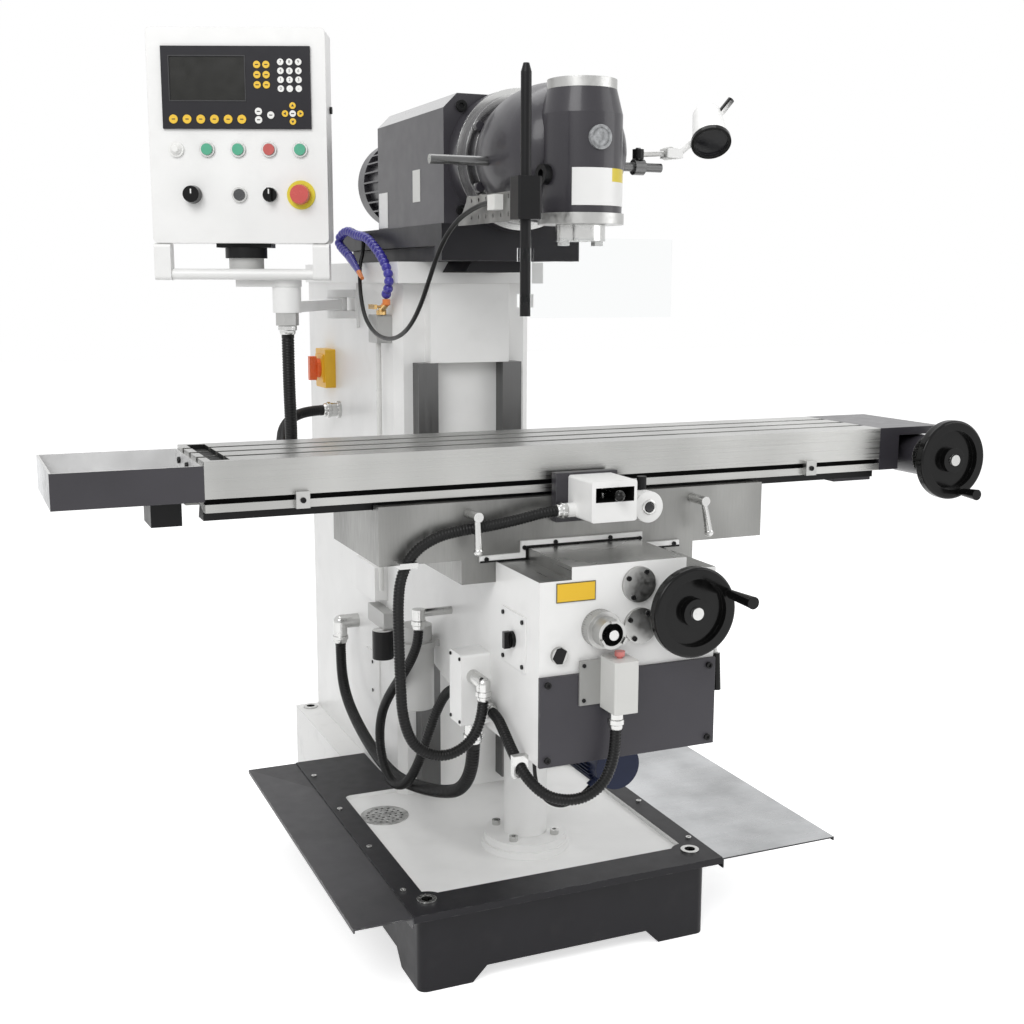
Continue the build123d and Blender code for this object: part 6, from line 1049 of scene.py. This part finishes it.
knee_ends = [tube_end(ROUTE_A, True), tube_end(ROUTE_C), tube_end(ROUTE_C, True), tube_end(ROUTE_D),
             tube_end(ROUTE_D, True)]
GLANDS = (("knee_glands", "knee_unit", 10.0, knee_ends),
          ("box_gland", "knee_unit", 13.0, [tube_end(ROUTE_B, True)]),
          ("column_glands", "stand", 13.0, [tube_end(ROUTE_B), tube_end(ROUTE_E, True)]),
          ("feed_gland", "saddle_unit", 10.0, [tube_end(ROUTE_A)]),
          ("arm_gland", "arm", 13.0, [tube_end(ROUTE_E)]))
for name, body, radius, ends in GLANDS:
    fit(repeated(gland(radius), ends), name, body, bright_steel)
print("glands fitted")

# %% [markdown]
# Socket screws hold what has to come off: the tray, the stop dogs, the lid of the junction box. The head is a
# turned disc with a chamfer and a recess. Their steel is blackened, so they show as small dark dots.

# %% Socket screws


def screw(radius, head):
    """Socket head with a recess, in millimetres."""
    return turned([(radius, 0.0), (radius, head * 0.75), (radius * 0.86, head), (radius * 0.55, head),
                   (radius * 0.50, head * 0.45)], sides=18)


def screws(name, body, radius, head, axis, places):
    fit(repeated(screw(radius, head), [facing(place, axis) for place in places]), name, body,
        black_enamel)


LEFT = (-1.0, 0.0, 0.0)
FRONT = (0.0, -1.0, 0.0)
screws("tray_screws", "table_unit", 6.0, 5.0, LEFT, [(-689, y, 1016) for y in (-606, -528, -450)])
screws("dog_screws", "table_unit", 5.0, 3.0, FRONT, [(x, -667, 966) for x in (-523, 510)])
screws("lid_screws", "knee_unit", 3.4, 2.4, LEFT, [(-230, y, z) for y in (-638, -592) for z in (528, 648)])
screws("plate_screws", "knee_unit", 3.6, 2.4, FRONT, [(-92, -871, z) for z in (621, 683)])
print("screws fitted")

# %% [markdown]
# The readout's keys carry plain digits on the keypad and small arrows or bars elsewhere. Text is made a mesh
# first and then stood on its key, because a text object keeps its place outside its mesh. A thin frame edges
# the screen: a plane is inset, its middle deleted, and the rim extruded.

# %% Marks on the readout
PANEL_FACING = Matrix.Rotation(math.radians(90.0), 4, "X")


def at_panel(right, deep, down):
    """Matrix for a piece drawn flat in X and Y, to stand on the panel's front."""
    place = Matrix.Translation(((right + PANEL_MIDDLE) * MM, deep * MM, (PANEL_TOP - down) * MM))
    return PANEL_FRAME @ place @ PANEL_FACING


def digit(character, size):
    deselect()
    bpy.ops.object.text_add()
    words = bpy.context.object
    words.data.body = character
    words.data.size = size * MM
    words.data.align_x = "CENTER"
    words.data.align_y = "CENTER"
    words.data.extrude = 0.00012
    words.data.resolution_u = 3
    bpy.ops.object.convert(target="MESH")
    return bpy.context.object


KEY_TOP = -57.6
KEYPAD = ("789", "456", "123", "0.-")
DIGIT_SIZE = 8.6
FIRST_KEY = (88, 66)
KEY_STEP = (17.5, 16.7)
digits = [settle(digit(character, DIGIT_SIZE),
                 at_panel(FIRST_KEY[0] + KEY_STEP[0] * i, KEY_TOP, FIRST_KEY[1] + KEY_STEP[1] * j))
          for j, line in enumerate(KEYPAD) for i, character in enumerate(line)]
fit(joined(digits), "key_digits", "panel", mark_black)
ARROW_STEP = 15.0
arrow_places = [(0, -1), (-1, 0), (0, 1), (1, 0)]
bar_places = [(-124 + 26.8 * i, 174) for i in range(6)]
bar_places += [(x, 71 + 19 * j) for x in (42, 60) for j in range(3)]
bar_places += [(43, 159), (43, 175), (67, 166), ARROW_CENTRE]
arrows = [settle(turned([(3.4, -0.1), (3.4, 0.12), (3.0, 0.2)], sides=3),
                 at_panel(ARROW_CENTRE[0] + ARROW_STEP * i, KEY_TOP, ARROW_CENTRE[1] + ARROW_STEP * j)
                 @ Matrix.Rotation(math.radians(90.0 * k), 4, "Z"))
          for k, (i, j) in enumerate(arrow_places)]
bars = [settle(milled((-3.2, -1.0, -0.1), (3.2, 1.0, 0.2), 0.08), at_panel(right, KEY_TOP, down))
        for right, down in bar_places]
fit(joined(arrows + bars), "key_marks", "panel", mark_black)


def screen_frame(width, height, rim, rise):
    """Thin raised frame, drawn flat about the origin."""
    deselect()
    bpy.ops.mesh.primitive_plane_add(size=1.0)
    piece = bpy.context.object
    piece.scale = (width * MM, height * MM, 1.0)
    bpy.ops.object.transform_apply(scale=True)
    edit()
    bpy.ops.mesh.inset(thickness=rim * MM, depth=0.0)
    bpy.ops.mesh.delete(type="FACE")
    bpy.ops.mesh.select_all(action="SELECT")
    draw_up(rise)
    close_edit()
    return piece


fit(settle(screen_frame(151.0, 87.0, 2.2, 0.9), at_panel(-56.0, -56.0, 97.0)), "screen_rim", "panel",
    frame_grey)
print("readout marked", len(digits) + len(arrows) + len(bars))

# %% [markdown]
# The selector and the speed knob each have a white pointer line, so that a hand knows where they stand. The
# line is a small bevelled bar let into the knob's front; it rides on the knob and turns with it.

# %% Pointers on the knobs


def knob_front(name):
    """Middle of a knob and its front, in the panel's frame."""
    spots = [on_panel(v.co / MM) for v in nodes[name].data.vertices]
    rights, deeps, downs = zip(*spots)
    return (min(rights) + max(rights)) / 2, min(deeps), (min(downs) + max(downs)) / 2


for knob, body in (("selector_knob", "selector"), ("speed_knob", "speed_dial")):
    right, deep, down = knob_front(knob)
    bar = milled((-1.3, 1.0, -0.4), (1.3, 10.0, 0.35), 0.15)
    fit(settle(bar, at_panel(right, deep, down)), knob + "_pointer", body, key_white)
    print(knob, [round(v, 1) for v in (right, deep, down)])

# %% [markdown]
# The knee crank has a graduated dial: fifty fine lines round its rim, every fifth one longer. Each line is
# milled at the top of the dial and then turned about the dial's axis.

# %% Dial lines
DIAL_LINES = 50
DIAL_REAR = -862.0
DIAL = Matrix.Translation((CRANK[0] * MM, 0.0, CRANK[1] * MM))
dial_lines = []
for i in range(DIAL_LINES):
    reach = 11.0 if i % 5 == 0 else 6.5
    line = milled((-0.28, DIAL_REAR - reach, 32.8), (0.28, DIAL_REAR, 33.15), 0.08)
    dial_lines.append(settle(line, DIAL @ Matrix.Rotation(2.0 * math.pi * i / DIAL_LINES, 4, "Y")))
fit(joined(dial_lines), "dial_lines", "crank", mark_black)
print("dial lines", len(dial_lines))

# %% [markdown]
# Where the saddle slides on the knee, a steel wiper presses a rubber lip on the top, so that no chips get
# under it. The lip follows the wiper's stepped edge: five milled strips, joined. Next to the feed box, the
# oiler has a small round window.

# %% Wiper lip and oiler window
LIP_Y0 = -677.4
LIP_Y1 = -673.0
LOW_LIP = (833.3, 836.6)
HIGH_LIP = (855.4, 858.6)
strips = [(-205.0, -112.6, *LOW_LIP), (112.6, 205.0, *LOW_LIP), (-115.8, -112.6, LOW_LIP[0], HIGH_LIP[1]),
          (112.6, 115.8, LOW_LIP[0], HIGH_LIP[1]), (-115.8, 115.8, *HIGH_LIP)]
lips = [milled((x0, LIP_Y0, z0), (x1, LIP_Y1, z1), 0.5) for x0, x1, z0, z1 in strips]
fit(joined(lips), "wiper_lip", "saddle_unit", rubber_black)
OILER = facing((104, -736, 925), FRONT)
window_ring = turned([(14.0, -1.0), (14.0, 1.6), (12.6, 2.4), (10.4, 2.4), (9.8, 0.6)], sides=36)
fit(settle(window_ring, OILER), "oiler_ring", "saddle_unit", bright_steel)
window = turned([(9.9, -0.6), (9.9, 0.8), (8.0, 1.4), (4.0, 1.8)], sides=32)
fit(settle(window, OILER), "oiler_window", "saddle_unit", glass_dark)
print("lip and window fitted")

# %% [markdown]
# What the photograph doesn't show still needs a back: the motor's cowl has a ringed grille, the column has a
# cabinet door with hinges and a latch, and the panel has a screwed rear cover. They are plain, and thin
# enough to leave the CAD's shape as it is.

# %% Backs and doors
RIGHT = (1.0, 0.0, 0.0)
REAR = (0.0, 1.0, 0.0)
UP = (0.0, 0.0, 1.0)
grille_rings = [(84.0, -1.0), (84.0, 1.5)]
for radius in (74.0, 64.0, 54.0, 44.0, 34.0):
    grille_rings += [(radius + 4.0, 1.5), (radius + 4.0, 0.3), (radius, 0.3), (radius, 1.5)]
grille_rings += [(20.0, 1.5), (18.0, 0.8)]
fit(settle(turned(grille_rings, sides=64), facing((0, 375, 1560), REAR)), "cowl_grille", "ram_unit",
    black_enamel)


def framed_door(low, high, rim, sink, axis):
    """A thin door: its outer face is inset and pressed in, in millimetres."""
    door = milled(low, high, 0.5)
    bpy.ops.object.mode_set(mode="EDIT")
    bpy.ops.mesh.select_mode(type="FACE")
    bpy.ops.mesh.select_all(action="DESELECT")
    bpy.ops.object.mode_set(mode="OBJECT")
    outward = Vector(axis)
    widest = max(face.area for face in door.data.polygons)
    for face in door.data.polygons:
        face.select = face.normal.dot(outward) > 0.9 and face.area > widest * 0.9
    bpy.ops.object.mode_set(mode="EDIT")
    bpy.ops.mesh.inset(thickness=rim * MM, depth=0.0)
    bpy.ops.mesh.inset(thickness=2.0 * MM, depth=-sink * MM)
    bpy.ops.object.mode_set(mode="OBJECT")
    return door


DOOR_LOW = (159.5, 90.0, 300.0)
DOOR_HIGH = (162.4, 560.0, 1060.0)
fit(framed_door(DOOR_LOW, DOOR_HIGH, 24.0, 1.2, RIGHT), "cabinet_door", "stand", white_enamel)
hinge = turned([(5.0, 0.0), (6.0, 1.0), (6.0, 27.0), (5.4, 27.6), (5.4, 28.4), (6.0, 29.0), (6.0, 55.0),
                (5.0, 56.0)])
fit(repeated(hinge, [facing((164.0, 562.0, z), UP) for z in (380.0, 930.0)]), "door_hinges", "stand",
    black_enamel)
latch = turned([(17.0, 0.0), (17.0, 3.0), (15.5, 4.5), (9.0, 4.5), (8.4, 3.2), (3.0, 3.2)], sides=32)
fit(settle(latch, facing((DOOR_HIGH[0], 104.0, 680.0), RIGHT)), "door_latch", "stand",
    satin_steel)
COVER_REAR = 25.6
rear_cover = framed_door((-220.0, 23.6, 1436.0), (60.0, COVER_REAR, 1784.0), 14.0, 0.8, REAR)
fit(settle(rear_cover, PANEL_FRAME), "panel_cover", "panel", white_enamel)
cover_ends = [PANEL_FRAME @ facing((x, COVER_REAR, z), REAR)
              for x in (-213.0, 53.0) for z in (1443.0, 1777.0)]
fit(repeated(screw(3.6, 2.4), cover_ends), "cover_screws", "panel", black_enamel)
print("backs fitted")
